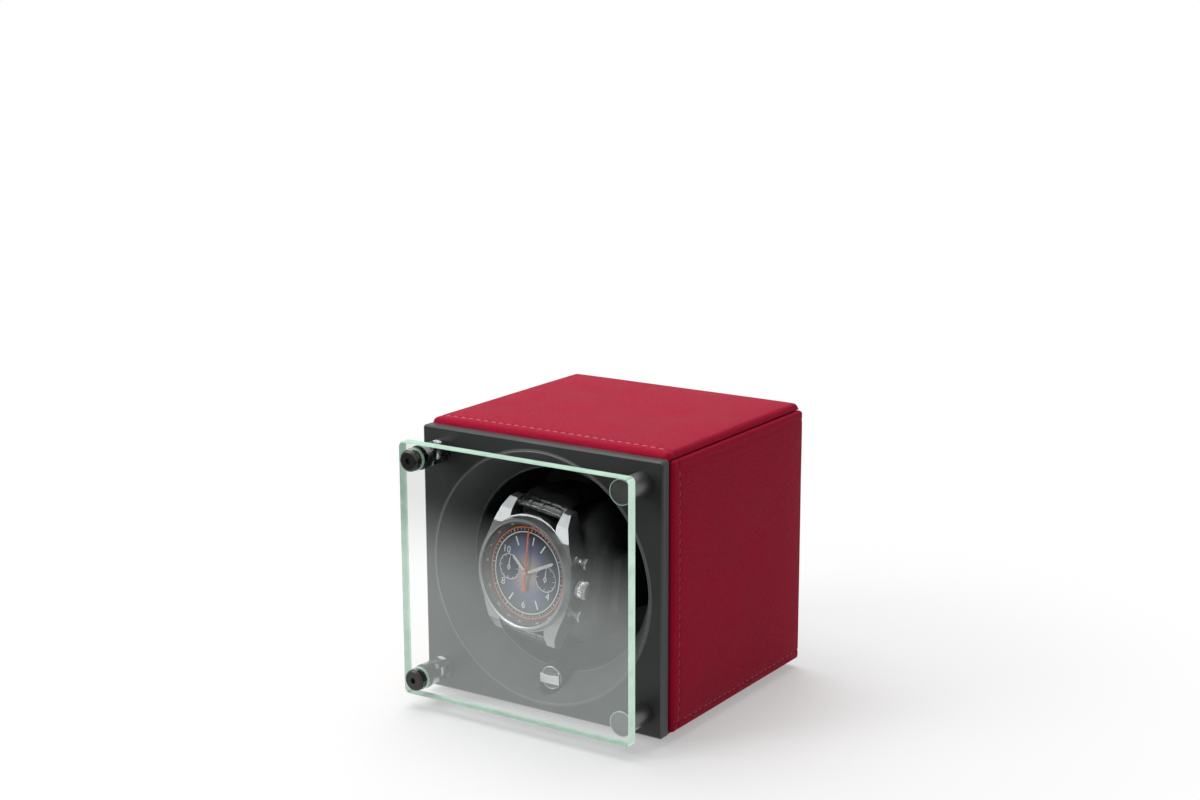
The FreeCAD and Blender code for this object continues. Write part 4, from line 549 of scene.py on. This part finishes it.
class Board:
    """Padded leather over a board: side runs across, depth from front to back, height outward.

    foam raises the leather, and lap carries it past the board at both sides and the front.
    """

    def __init__(self, node_name, axis, sign, front_hem, side_hem=None, side_crease=None, foam=0.0,
                 lap=0.0, thread="thread"):
        self.name, self.axis, self.sign = node_name, axis, sign
        self.foam, self.thread, self.round, self.lap = foam, thread, BOARD_ROUND + foam, lap
        self.cross = X if axis == Z else Z
        self.low, self.high = (Vector(corner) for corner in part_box(node_name))
        self.low[self.cross] -= lap
        self.high[self.cross] += lap
        self.low.y -= lap * FRONT_LAP
        self.wide = self.high[self.cross] - self.low[self.cross]
        self.deep = self.high.y - self.low.y
        self.thick = self.high[axis] - self.low[axis]
        self.front_hem, self.side_hem, self.side_crease = front_hem, side_hem, side_crease

    def spot(self, side, depth, height):
        """Point in the part's frame."""
        point = Vector((0, 0, 0))
        point[self.cross] = self.low[self.cross] + side
        point.y = self.low.y + depth
        point[self.axis] = self.low[self.axis] + height if self.sign > 0 else self.high[self.axis] - height
        return point

    def height(self, side, depth):
        """Height of the leather: crowned, rolled over at the edges and drawn in along the hems."""
        edges = (side, self.wide - side, depth, self.deep - depth)
        puff = 1.0
        for edge, soft in zip(edges, SOFT_EDGES):
            puff *= 1 - math.exp(-edge / soft)
        roll_side = max(0.0, 1 - min(edges[:2]) / self.round)
        roll_end = max(0.0, 1 - min(edges[2:]) / self.round)
        roll = min(1.0, math.hypot(roll_side, roll_end))
        level = self.thick + self.foam - SINK + PUFF * puff - self.round * (1 - math.sqrt(1 - roll * roll))
        level -= self.groove(depth - self.front_hem, side)
        if self.side_hem:
            level -= self.groove(side - self.side_hem, depth)
        if self.side_crease:
            gap = self.wide - side - self.side_crease
            level -= CREASE_DEPTH * math.exp(-(gap / CREASE_WIDE) ** 2)
        return level + WAVE * noise.noise(self.spot(side, depth, 0) * WAVE_SCALE)

    def groove(self, gap, run):
        """Depth of a sewn hem at a distance from its line, deepest under the stitches."""
        pull = HEM_LEVEL - HEM_PULL * math.cos(2 * math.pi * run / STITCH_PITCH)
        return HEM_DEPTH * pull * math.exp(-(gap / HEM_WIDE) ** 2)

    def plan(self, side, depth):
        """Round the corners of the outline."""
        a_low, a_high = side, self.wide - side
        b_low, b_high = depth, self.deep - depth
        a, b = min(a_low, a_high), min(b_low, b_high)
        if a >= CORNER_ROUND or b >= CORNER_ROUND:
            return side, depth
        s, t = 1 - a / CORNER_ROUND, 1 - b / CORNER_ROUND
        a = CORNER_ROUND * (1 - s * math.sqrt(1 - t * t / 2))
        b = CORNER_ROUND * (1 - t * math.sqrt(1 - s * s / 2))
        return (a if a_low < a_high else self.wide - a), (b if b_low < b_high else self.deep - b)

    def walls(self):
        """Rings of the wall under the rolled edge, each an inset and a height."""
        if not self.lap:
            return (0.0, self.thick * WALL_SHARE), (TUCK, 0.0)
        inner = self.lap + TUCK
        edge, under = (self.thick * share for share in LAP_SHARES)
        return (0.0, edge), (LAP_EDGE, under), (inner, under), (inner, 0.0)

    def build(self):
        """Leather as one closed mesh in place of the board, and its stitches."""
        sides = board_lines(self.wide, [self.side_hem] if self.side_hem else [])
        depths = board_lines(self.deep, [self.front_hem])
        rows, columns = len(sides), len(depths)
        verts = []
        for side in sides:
            for depth in depths:
                verts.append(self.spot(*self.plan(side, depth), self.height(side, depth)))
        faces = grid_faces(rows, columns)
        loop = [(i, 0) for i in range(rows)] + [(rows - 1, j) for j in range(1, columns)]
        loop += [(i, columns - 1) for i in reversed(range(rows - 1))]
        loop += [(0, j) for j in reversed(range(1, columns - 1))]
        previous = [i * columns + j for i, j in loop]
        for inset, level in self.walls():
            start = len(verts)
            for i, j in loop:
                side, depth = self.plan(sides[i], depths[j])
                side = inset + side * (self.wide - 2 * inset) / self.wide
                depth = inset + depth * (self.deep - inset - min(inset, TUCK)) / self.deep
                verts.append(self.spot(side, depth, level))
            ring = list(range(start, len(verts)))
            for k in range(len(ring)):
                n = (k + 1) % len(ring)
                faces.append((previous[k], previous[n], ring[n], ring[k]))
            previous = ring
        faces.append(tuple(previous))
        made = piece(self.name + "_leather", verts, faces, "red_leather", "case")
        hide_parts(self.name)
        self.sew()

    def sew(self):
        """Rows of stitches in the hems."""
        thread = Thread()
        origin = self.spot(0, 0, 0)
        normal = self.spot(0, 0, 1) - origin
        along = self.spot(1, STITCH_SLANT, 0) - origin
        for i in range(int((self.wide - 2 * STITCH_MARGIN) / STITCH_PITCH)):
            side = STITCH_MARGIN + (i + 0.5) * STITCH_PITCH
            level = self.height(side, self.front_hem)
            thread.stitch(self.spot(side, self.front_hem, level), along, normal)
        if self.side_hem:
            along = self.spot(STITCH_SLANT, 1, 0) - origin
            for i in range(int((self.deep - self.front_hem - 2 * STITCH_MARGIN) / STITCH_PITCH)):
                depth = self.front_hem + STITCH_MARGIN + (i + 0.5) * STITCH_PITCH
                level = self.height(self.side_hem, depth)
                thread.stitch(self.spot(self.side_hem, depth, level), along, normal)
        piece(self.name + "_stitching", thread.verts, thread.faces, self.thread, "case")


def make_boards():
    hem = 4.4 * MM
    # The top's stitches take the lighter thread, painted light; the others take the darker, shaded one
    Board("top_panel", Z, 1, hem, foam=0.9 * MM, lap=1.2 * MM, thread="thread_light").build()
    Board("bottom_panel", Z, -1, hem).build()
    for name, sign in (("left_panel", -1), ("right_panel", 1)):
        Board(name, X, sign, front_hem=3.6 * MM, side_hem=3.4 * MM, side_crease=3.2 * MM).build()


# Watch strap

STRAP_THICK = 2.6 * MM
STRAP_WIDE = 20 * MM
STRAP_TRIM = 0.05 * MM
STRAP_STEP = 0.4 * MM
STRAP_COLUMNS = 44
STRAP_RISE = 9.5 * MM
STRAP_CROWN = 0.5
STRAP_UNDERCUT = 0.35
CLASP_GAP = 1.4 * MM
# Rings of the rounded end at the spring bar, as shares of half the thickness
EYE_SHARES = (1.0, 0.97, 0.88, 0.7, 0.45, 0.2)
SCALE_LONG = 3.4 * MM
SCALE_COLUMNS = 4
SCALE_GROOVE = 0.2 * MM
SCALE_SOFT = 0.35 * MM
SCALE_WANDER = 0.5 * MM
SCALE_NOISE = 300
SCALE_SLICE = 7.0
# Scales are full depth within this share of the width, and shallow beside it
SCALED_SHARE = 0.84
EDGE_GROOVE = 0.2
SEAM_SHARE = 0.87
SEAM_LIFT = 0.335
SEAM_START = 2 * MM
SEAM_PITCH = 2.7 * MM
SEAM_THREAD = (1.9 * MM, 0.34 * MM)


def strap_line(sign):
    """Middle line of half the strap as a list of (point, outward direction) in the watch's frame."""
    bar_low, bar_high = watch_box("spring_bars")
    bar_y, bar_z = (bar_low.y + bar_high.y) / 2, bar_high.z - (bar_high.y - bar_low.y) / 2
    high = watch_box("upper_strap")[1]
    rise, rear = high.z - STRAP_THICK / 2, high.y - STRAP_THICK / 2
    stop = watch_box("strap_clasp")[1].z
    corner = rise - stop - CLASP_GAP
    drop = rise - bar_z
    radius = (STRAP_RISE ** 2 + drop ** 2) / (2 * drop)
    first, second = (bar_y + STRAP_RISE, rise - radius), (rear - corner, rise - corner)
    opening = math.atan2(bar_z - first[1], bar_y - first[0])
    line = []

    def sweep(centre, size, start, end):
        count = max(2, int(abs(end - start) * size / STRAP_STEP))
        for i in range(count):
            turn = start + (end - start) * i / count
            out = Vector((0, math.cos(turn), sign * math.sin(turn)))
            line.append((Vector((0, centre[0], sign * centre[1])) + out * size, out))
    sweep(first, radius, opening, math.pi / 2)
    count = int((second[0] - first[0]) / STRAP_STEP)
    for i in range(count):
        y = first[0] + (second[0] - first[0]) * i / count
        line.append((Vector((0, y, sign * rise)), Vector((0, 0, sign))))
    sweep(second, corner, math.pi / 2, 0.0)
    line.append((Vector((0, rear, sign * stop)), Vector((0, 1, 0))))
    return line


def emboss(run, across):
    """Depth of the grooves between the strap's embossed scales."""
    wander = SCALE_WANDER * noise.noise(Vector((run * SCALE_NOISE, across * SCALE_NOISE, SCALE_SLICE)))
    row = (run + wander) / SCALE_LONG
    gap_row = abs(row - round(row)) * SCALE_LONG
    width = STRAP_WIDE / SCALE_COLUMNS
    shift = 0.5 * (round(row - 0.5) % 2)
    column = (across + wander) / width + shift
    gap_column = abs(column - round(column)) * width
    return SCALE_GROOVE * math.exp(-(min(gap_row, gap_column) / SCALE_SOFT) ** 2)


def make_strap(label, sign):
    """Padded strap with embossed scales, turned edges and a row of stitches along each side."""
    low, high = watch_box(label)
    half = (high.x - low.x) / 2 - STRAP_TRIM
    line = strap_line(sign)
    first, out = line[0]
    back = (first - line[1][0]).normalized()
    eye = STRAP_THICK / 2
    line = [(first + back * eye * share, out) for share in EYE_SHARES] + line
    verts, run = [], 0.0
    thread = Thread(*SEAM_THREAD)
    due = SEAM_START
    for i, (middle, out) in enumerate(line):
        if i:
            run += (middle - line[i - 1][0]).length
        row = []
        full = math.sqrt(max(0.0, 1 - max(0.0, 1 - run / eye) ** 2))
        for c in range(STRAP_COLUMNS + 1):
            share = 2 * c / STRAP_COLUMNS - 1
            crown = 1 - STRAP_CROWN + STRAP_CROWN * (1 - abs(share) ** 3)
            relief = emboss(run, share * half) * (1 if abs(share) < SCALED_SHARE else EDGE_GROOVE)
            lift = STRAP_THICK / 2 * crown - relief
            row.append(Vector((share * half, 0, 0)) + middle + out * lift * full)
        for c in range(STRAP_COLUMNS + 1):
            share = 1 - 2 * c / STRAP_COLUMNS
            below = STRAP_THICK / 2 * (1 - STRAP_UNDERCUT * abs(share) ** 8) * full
            row.append(Vector((share * half, 0, 0)) + middle - out * below)
        verts += row
        if run > due and i < len(line) - 2:
            along = line[i + 1][0] - middle
            due += SEAM_PITCH
            for side in (-1, 1):
                spot = middle + Vector((side * half * SEAM_SHARE, 0, 0)) + out * STRAP_THICK * SEAM_LIFT
                thread.stitch(WATCH @ spot, WATCH.to_3x3() @ along, WATCH.to_3x3() @ out)
    ring = 2 * (STRAP_COLUMNS + 1)
    faces = grid_faces(len(line), ring, closed=True)
    faces.append(tuple(range(ring)))
    faces.append(tuple(range(len(verts) - ring, len(verts))))
    made = piece(label + "_leather", [WATCH @ v for v in verts], faces, "strap_black", "rotor")
    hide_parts(label)
    piece(label + "_stitching", thread.verts, thread.faces, "strap_black", "rotor")


# Watch cushion

SIM_SCALE = 20
SIM_FRAMES = 20
SIM_PRESSURE = 4.0
SIM_REACH = 0.45 * MM
CUSHION_VOXEL = 1.2 * MM
CUSHION_INSET = 0.35 * MM
END_SEAM_DEPTH = 0.35 * MM
END_SEAM_SHARE = 0.92
END_SEAM_WIDE = 0.03
PLEAT_DEPTH = 0.3 * MM
PLEAT_START = 0.5
PLEAT_SCALE = Vector((90, 260, 260))


def remeshed(source, voxel):
    """Even mesh of a CAD node, for soft shapes."""
    obj = bpy.data.objects.new("soft", source.data.copy())
    bpy.context.scene.collection.objects.link(obj)
    remesh = obj.modifiers.new("Remesh", "REMESH")
    remesh.mode = "VOXEL"
    remesh.voxel_size = voxel
    ease = obj.modifiers.new("Ease", "SMOOTH")
    ease.factor = 0.5
    ease.iterations = 4
    bpy.context.view_layer.update()
    mesh = baked(obj)
    bpy.data.objects.remove(obj)
    return mesh


def inflated(mesh):
    """Where a short cloth simulation under pressure moves the vertices, with the movement capped."""
    rest = [v.co.copy() for v in mesh.vertices]
    big = mesh.copy()
    middle = sum(rest, Vector()) / len(rest)
    for vertex, spot in zip(big.vertices, rest):
        vertex.co = (spot - middle) * SIM_SCALE
    obj = bpy.data.objects.new("pillow", big)
    bpy.context.scene.collection.objects.link(obj)
    cloth = obj.modifiers.new("Cloth", "CLOTH")
    cloth.settings.use_pressure = True
    cloth.settings.uniform_pressure_force = SIM_PRESSURE
    cloth.settings.effector_weights.gravity = 0.0
    cloth.settings.quality = 4
    cloth.point_cache.frame_start = 1
    cloth.point_cache.frame_end = SIM_FRAMES
    for step in range(1, SIM_FRAMES + 1):
        bpy.context.scene.frame_set(step)
    moved = []
    for vertex, spot in zip(baked(obj).vertices, rest):
        step = vertex.co / SIM_SCALE + middle - spot
        moved.append(spot + step * min(1.0, SIM_REACH / max(step.length, TINY)))
    bpy.data.objects.remove(obj)
    bpy.context.scene.frame_set(1)
    return moved


def make_cushion():
    """Soft pillow under the strap: the CAD form blown up as cloth, with end seams and shallow pleats."""
    mesh = remeshed(NODES["watch_cushion"], CUSHION_VOXEL)
    for vertex, spot in zip(mesh.vertices, inflated(mesh)):
        vertex.co = spot
    mesh.update()
    back = WATCH.inverted()
    low, high = watch_box("watch_cushion")
    end = (high.x - low.x) / 2
    normals = [v.normal.copy() for v in mesh.vertices]
    for vertex, normal in zip(mesh.vertices, normals):
        spot = back @ vertex.co
        side = abs(spot.x) / end
        pleat = PLEAT_DEPTH * max(0.0, side - PLEAT_START) * noise.noise(spot * PLEAT_SCALE)
        seam = END_SEAM_DEPTH * math.exp(-((side - END_SEAM_SHARE) / END_SEAM_WIDE) ** 2)
        vertex.co -= normal * (CUSHION_INSET + seam + pleat)
    for polygon in mesh.polygons:
        polygon.use_smooth = True
    mesh.materials.clear()
    mesh.materials.append(MATERIALS["cushion_black"])
    obj = bpy.data.objects.new("watch_cushion_leather", mesh)
    bpy.context.scene.collection.objects.link(obj)
    smooth = obj.modifiers.new("Fine", "SUBSURF")
    smooth.levels = 1
    smooth.render_levels = 1
    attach(obj, "rotor")
    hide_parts("watch_cushion")


# Watch head

FACE = 0.06 * MM
PRINT_THICK = 0.02 * MM
NUMBERS = (("10", 300), ("8", 240), ("6", 180), ("4", 120))
NUMBER_SIZE, NUMBER_REACH = 3.6 * MM, 11.6 * MM
# Hour bars: angles, inner and outer radius, width
HOUR_BARS = (((30, 150, 210, 330), 9.9 * MM, 13.2 * MM, 0.55 * MM),
             ((-6, 6), 10.2 * MM, 13.2 * MM, 0.45 * MM))
MINUTE_OUTER = 15.6 * MM
# Minute ticks: inner radius and width, on an hour and between hours
HOUR_TICK, MINUTE_TICK = (14.9 * MM, 0.3 * MM), (15.1 * MM, 0.14 * MM)
READINGS = (("400", 54), ("300", 72), ("240", 90), ("200", 108), ("160", 135), ("140", 154), ("120", 180),
            ("110", 196), ("100", 216), ("90", 240), ("80", 270), ("75", 288), ("70", 309), ("65", 332))
READING_SIZE, READING_REACH, READING_LIFT = 1.05 * MM, 17.5 * MM, 0.78 * MM
READING_SLOPE = math.radians(41)
COUNTER_FACE = FACE - 0.15 * MM
COUNTER_OUTER, COUNTER_WIDE = 4.1 * MM, 0.2 * MM
COUNTER_LONG, COUNTER_SHORT = 0.9 * MM, 0.45 * MM


def on_dial(x, z, lift):
    """Point on the watch's dial, lifted off it."""
    return WATCH @ Vector((x, -lift, z))


def numeral(text, size):
    """Flat mesh of a plain number, centred, with its face along +Z."""
    curve = bpy.data.curves.new("numeral", "FONT")
    curve.body = text
    curve.size = size
    curve.align_x = "CENTER"
    curve.align_y = "CENTER"
    curve.extrude = PRINT_THICK
    curve.resolution_u = 3
    obj = bpy.data.objects.new("numeral", curve)
    bpy.context.scene.collection.objects.link(obj)
    bpy.context.view_layer.update()
    mesh = baked(obj)
    verts = [v.co.copy() for v in mesh.vertices]
    faces = [tuple(p.vertices) for p in mesh.polygons]
    bpy.data.objects.remove(obj)
    return verts, faces


class Print:
    """Collects flat marks for one mesh."""

    def __init__(self):
        self.verts, self.faces = [], []

    def add(self, verts, faces):
        start = len(self.verts)
        self.verts += verts
        self.faces += [tuple(start + i for i in face) for face in faces]

    def bar(self, angle, inner, outer, wide, lift, centre=Vector()):
        """Raised bar that points at the arbor, or at a centre measured from it."""
        turn = math.radians(angle)
        out = Vector((math.sin(turn), math.cos(turn)))
        side = Vector((math.cos(turn), -math.sin(turn))) * wide / 2
        corners = [out * inner - side, out * inner + side, out * outer + side, out * outer - side]
        verts = [on_dial(c.x, c.y, h) + centre for h in (0.0, lift) for c in corners]
        walls = [(k, (k + 1) % 4, 4 + (k + 1) % 4, 4 + k) for k in range(4)]
        self.add(verts, [(4, 5, 6, 7), (3, 2, 1, 0)] + walls)

    def number(self, text, size, angle, radius, lift):
        """Upright number on the dial."""
        verts, faces = numeral(text, size)
        turn = math.radians(angle)
        x, z = radius * math.sin(turn), radius * math.cos(turn)
        self.add([on_dial(x + v.x, z + v.y, lift + v.z) for v in verts], faces)

    def number_on_ring(self, text, size, angle, radius, lift, slope):
        """Number that stands on the sloping ring with its top outward."""
        verts, faces = numeral(text, size)
        turn = math.radians(angle)
        out = Vector((math.sin(turn), 0, math.cos(turn)))
        side = Vector((math.cos(turn), 0, -math.sin(turn)))
        front = Vector((0, -1, 0))
        up = out * math.cos(slope) + front * math.sin(slope)
        normal = front * math.cos(slope) - out * math.sin(slope)
        middle = out * radius + front * lift
        self.add([WATCH @ (middle + side * v.x + up * v.y + normal * v.z) for v in verts], faces)


def make_dial_print():
    """Plain numbers, hour bars, minute ticks and counter marks."""
    white = Print()
    for text, angle in NUMBERS:
        white.number(text, NUMBER_SIZE, angle, NUMBER_REACH, FACE)
    for angles, inner, outer, wide in HOUR_BARS:
        for angle in angles:
            white.bar(angle, inner, outer, wide, FACE * 2)
    for minute in range(60):
        inner, wide = MINUTE_TICK if minute % 5 else HOUR_TICK
        white.bar(minute * 6, inner, MINUTE_OUTER, wide, FACE)
    for text, angle in READINGS:
        white.number_on_ring(text, READING_SIZE, angle, READING_REACH, READING_LIFT, READING_SLOPE)
    for centre in COUNTERS:
        for tick in range(12):
            inner = COUNTER_OUTER - (COUNTER_SHORT if tick % 3 else COUNTER_LONG)
            white.bar(tick * 30, inner, COUNTER_OUTER, COUNTER_WIDE, COUNTER_FACE, centre)
    piece("dial_print", white.verts, white.faces, "print_white", "rotor", smooth=False)


def make_crown():
    """Fluted crown with a domed end, in place of the plain one."""
    low, high = watch_box("crown")
    radius = (high.z - low.z) / 2
    axis_y = (high.y + low.y) / 2
    length, stem, sides, flutes, flute_depth = 4.0 * MM, 0.8 * MM, 208, 26, 0.16 * MM
    start = high.x - length
    # Millimetres off the radius, and along from the inner or back from the outer end
    collar = ((0.5, 0.0), (0.1, 0.3), (0.1, 0.35), (0.0, 0.6))
    dome = ((0.0, 1.0), (0.25, 0.6), (0.55, 0.3), (1.2, 0.1))
    outline = [(0.0, low.x), (stem, low.x), (stem, start)]
    outline += [(radius - cut * MM, start + run * MM) for cut, run in collar]
    outline += [(radius - cut * MM, high.x - run * MM) for cut, run in dome]
    outline.append((0.0, high.x))
    fluted = range(5, 9)

    def flute(i, turn):
        return -flute_depth * (1 + math.cos(flutes * turn)) if i in fluted else 0.0
    stand = WATCH @ Matrix.Translation((0, axis_y, 0)) @ Matrix.Rotation(math.radians(-90), 4, "Z")
    verts, faces = turned(outline, sides, stand, flute)
    made = piece("crown_fluted", verts, faces, "watch_steel", "crown")
    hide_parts("crown")


# Trim

def front_centre(name):
    """Move to the middle of a CAD node's front, with the node's half width and depth."""
    low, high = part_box(name)
    centre = Vector(((low.x + high.x) / 2, low.y, (low.z + high.z) / 2))
    return Matrix.Translation(centre), (high.x - low.x) / 2, high.y - low.y


def make_trim():
    """Thin lips round the bowl's mouth and throat in a lighter grey, a painted highlight along their edges, and a
    bright rim round the selector knob.
    """
    stand, _, deep = front_centre("bowl_funnel")
    lip, throat, bead, steps = 45.0 * MM, 37.05 * MM, 0.28 * MM, 8
    lip_sides, rim_sides = 180, 96
    for name, radius, y, slot in (("bowl_lip", lip, 0.0, "black_plate"),
                                  ("throat_lip", throat, deep, "black_plastic")):
        turns = [2 * math.pi * k / steps for k in range(steps + 1)]
        points = [(radius + bead * math.cos(turn), y + bead * math.sin(turn)) for turn in turns]
        verts, faces = turned(points, lip_sides, stand)
        piece(name, verts, faces, "lip_grey", "case")
    stand, radius, _ = front_centre("selector_knob")
    # Millimetres in from the knob's edge, and back from its front
    rim = ((0.75, -0.02), (0.55, -0.14), (0.3, -0.1), (0.0, 0.25), (0.0, 0.5), (0.75, 0.3), (0.75, -0.02))
    verts, faces = turned([(radius - cut * MM, y * MM) for cut, y in rim], rim_sides, stand)
    piece("knob_rim", verts, faces, "rim_bright", "selector")


def make_cover_ribs():
    """Row of moulded ribs under the finger notch of the battery cover, each shorter than the one above."""
    low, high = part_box("battery_cover")
    middle, face = (low.x + high.x) / 2, high.y
    wide, tall, proud, root, count = 18 * MM, 0.7 * MM, 0.35 * MM, 0.2 * MM, 5
    notch, pitch, taper = 10.5 * MM, 1.7 * MM, 0.8 * MM
    # Root, shoulder and top of a rib: place along Y, and inset from its outline
    levels = ((face - root, 0.0), (face + proud * 0.6, 0.06 * MM), (face + proud, 0.2 * MM))
    verts, faces = [], []
    for i in range(count):
        z = high.z - notch - pitch * i
        reach = wide / 2 - taper * i
        start = len(verts)
        for y, inset in levels:
            for sx, sz in ((-1, -1), (1, -1), (1, 1), (-1, 1)):
                verts.append((middle + sx * (reach - inset), y, z + sz * (tall / 2 - inset)))
        faces += grid_faces(3, 4, True, start)
        faces += [(start + 3, start + 2, start + 1, start), tuple(start + 8 + k for k in range(4))]
    piece("cover_ribs", verts, faces, "black_plastic", "battery_lid", smooth=False)


def upper_and_lower(name):
    """Middle and radius of the upper and the lower round solid of a CAD node."""
    low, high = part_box(name)
    found = {}
    for label, above in (("upper", True), ("lower", False)):
        points = [v.co for v in NODES[name].data.vertices if (v.co.z > (low.z + high.z) / 2) == above]
        first = [min(p[i] for p in points) for i in range(3)]
        last = [max(p[i] for p in points) for i in range(3)]
        found[label] = Vector([(a + b) / 2 for a, b in zip(first, last)]), (last[0] - first[0]) / 2
    return found


def make_green_rings():
    """Green outlines in the pane: round each strike disc bonded to its back and round each screw hole."""
    front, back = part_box("glass_pane")
    hole_start, sides = front.y + 0.9 * MM, 72
    for name, prefix, y, wide, long in (("strike_discs", "strike_ring_", back.y, 0.28 * MM, 0.3 * MM),
                                        ("glass_screws", "hole_ring_", hole_start, 0.2 * MM, 1.3 * MM)):
        for label, (centre, radius) in upper_and_lower(name).items():
            outline = [(radius, 0), (radius + wide, 0), (radius + wide, long), (radius, long), (radius, 0)]
            spot = Vector((centre.x, y, centre.z))
            verts, faces = turned(outline, sides, Matrix.Translation(spot))
            # Each ring takes the glowing edge material, a painted glow
            piece(prefix + label, verts, faces, "glass_edge", "glass_door")


# Stage, light and camera

CAMERA_PLACE = Vector((0.39272, -0.59028, 0.26697))
CAMERA_RIGHT = Vector((0.83287, 0.55346, -0.00321))
CAMERA_UP = Vector((-0.11913, 0.18494, 0.97550))
LENS = 61.39
FLOOR_TONE = (0.86, 0.86, 0.86)
FLOOR_REACH = 4.0
# The floor turns white between these distances from the object, from a first share of white
WHITE_START, WHITE_END, WHITE_SHARE = 0.06, 0.26, 0.35
# Mirrored, the floor goes dark between these distances along this direction
MIRROR_WAY, MIRROR_DARK, MIRROR_WHITE = (-0.2, 1.0, 0.0), -0.245, -0.142
WORLD_LIGHT = 0.30
AIM = (0, 0, 0.05)


def make_camera():
    data = bpy.data.cameras.new("Camera")
    data.sensor_fit = "HORIZONTAL"
    data.sensor_width = 36
    data.lens = LENS
    data.clip_start = 0.01
    camera = bpy.data.objects.new("Camera", data)
    bpy.context.scene.collection.objects.link(camera)
    back = CAMERA_RIGHT.cross(CAMERA_UP)
    turn = Matrix((CAMERA_RIGHT, CAMERA_UP, back)).transposed().to_4x4()
    camera.matrix_world = Matrix.Translation(CAMERA_PLACE) @ turn
    bpy.context.scene.camera = camera


def make_floor():
    """Pale floor, white further off; mirrored in glass and metal it ends in the dark at the front."""
    mat = principled("floor", FLOOR_TONE, 0.9, {"Specular IOR Level": 0.0})
    rays = node(mat, "LightPath").outputs
    reach = vector_node(mat, "DOT_PRODUCT", place(mat), MIRROR_WAY, "Value")
    mirrored = node(mat, "Emission", {"Strength": eased(mat, reach, MIRROR_DARK, MIRROR_WHITE)})
    away = vector_node(mat, "DISTANCE", place(mat), (0.0, 0.0, 0.0), "Value")
    beyond = eased(mat, away, WHITE_START, WHITE_END, WHITE_SHARE)
    seen = mix_shaders(mat, beyond, surface(mat), node(mat, "Emission"))
    shown = math_node(mat, "MAXIMUM", rays["Is Camera Ray"], rays["Is Transmission Ray"])
    plain = mix_shaders(mat, shown, surface(mat), seen)
    show(mat, mix_shaders(mat, rays["Is Glossy Ray"], plain, mirrored))
    mesh = bpy.data.meshes.new("floor")
    corners = [(x * FLOOR_REACH, y * FLOOR_REACH, 0) for x, y in ((-1, -1), (1, -1), (1, 1), (-1, 1))]
    mesh.from_pydata(corners, [], [(0, 1, 2, 3)])
    mesh.materials.append(mat)
    floor = bpy.data.objects.new("floor", mesh)
    bpy.context.scene.collection.objects.link(floor)


def lamp(name, place_at, size, power):
    """Flat lamp that shines at the object's middle."""
    data = bpy.data.lights.new(name, "AREA")
    data.shape = "RECTANGLE"
    data.size, data.size_y = size
    data.energy = power
    light = bpy.data.objects.new(name, data)
    bpy.context.scene.collection.objects.link(light)
    light.location = place_at
    light.rotation_mode = "QUATERNION"
    light.rotation_quaternion = (Vector(AIM) - Vector(place_at)).to_track_quat("-Z", "Y")


def make_light():
    """Soft white world, white where it shows or is mirrored, and two lamps."""
    world = bpy.data.worlds.new("Studio")
    world.use_nodes = True
    bpy.context.scene.world = world
    rays = node(world, "LightPath").outputs
    mirrored = math_node(world, "MAXIMUM", rays["Is Glossy Ray"], rays["Is Transmission Ray"])
    shown = math_node(world, "MAXIMUM", rays["Is Camera Ray"], mirrored)
    background = world.node_tree.nodes["Background"]
    background.inputs["Color"].default_value = (1, 1, 1, 1)
    feed(world, background.inputs["Strength"], spread(world, shown, WORLD_LIGHT, 1.0))
    lamp("Overhead", (-0.25, 0.15, 0.95), size=(0.9, 0.9), power=8.5)
    lamp("Front", (-0.7, -0.9, 0.55), size=(0.5, 0.7), power=8.0)


make_camera()
make_floor()
make_light()
dress_nodes()
make_boards()
for strap, way in (("upper_strap", 1), ("lower_strap", -1)):
    make_strap(strap, way)
make_cushion()
make_dial_print()
make_crown()
make_trim()
make_green_rings()
make_cover_ribs()
bpy.context.scene.view_settings.view_transform = "Standard"
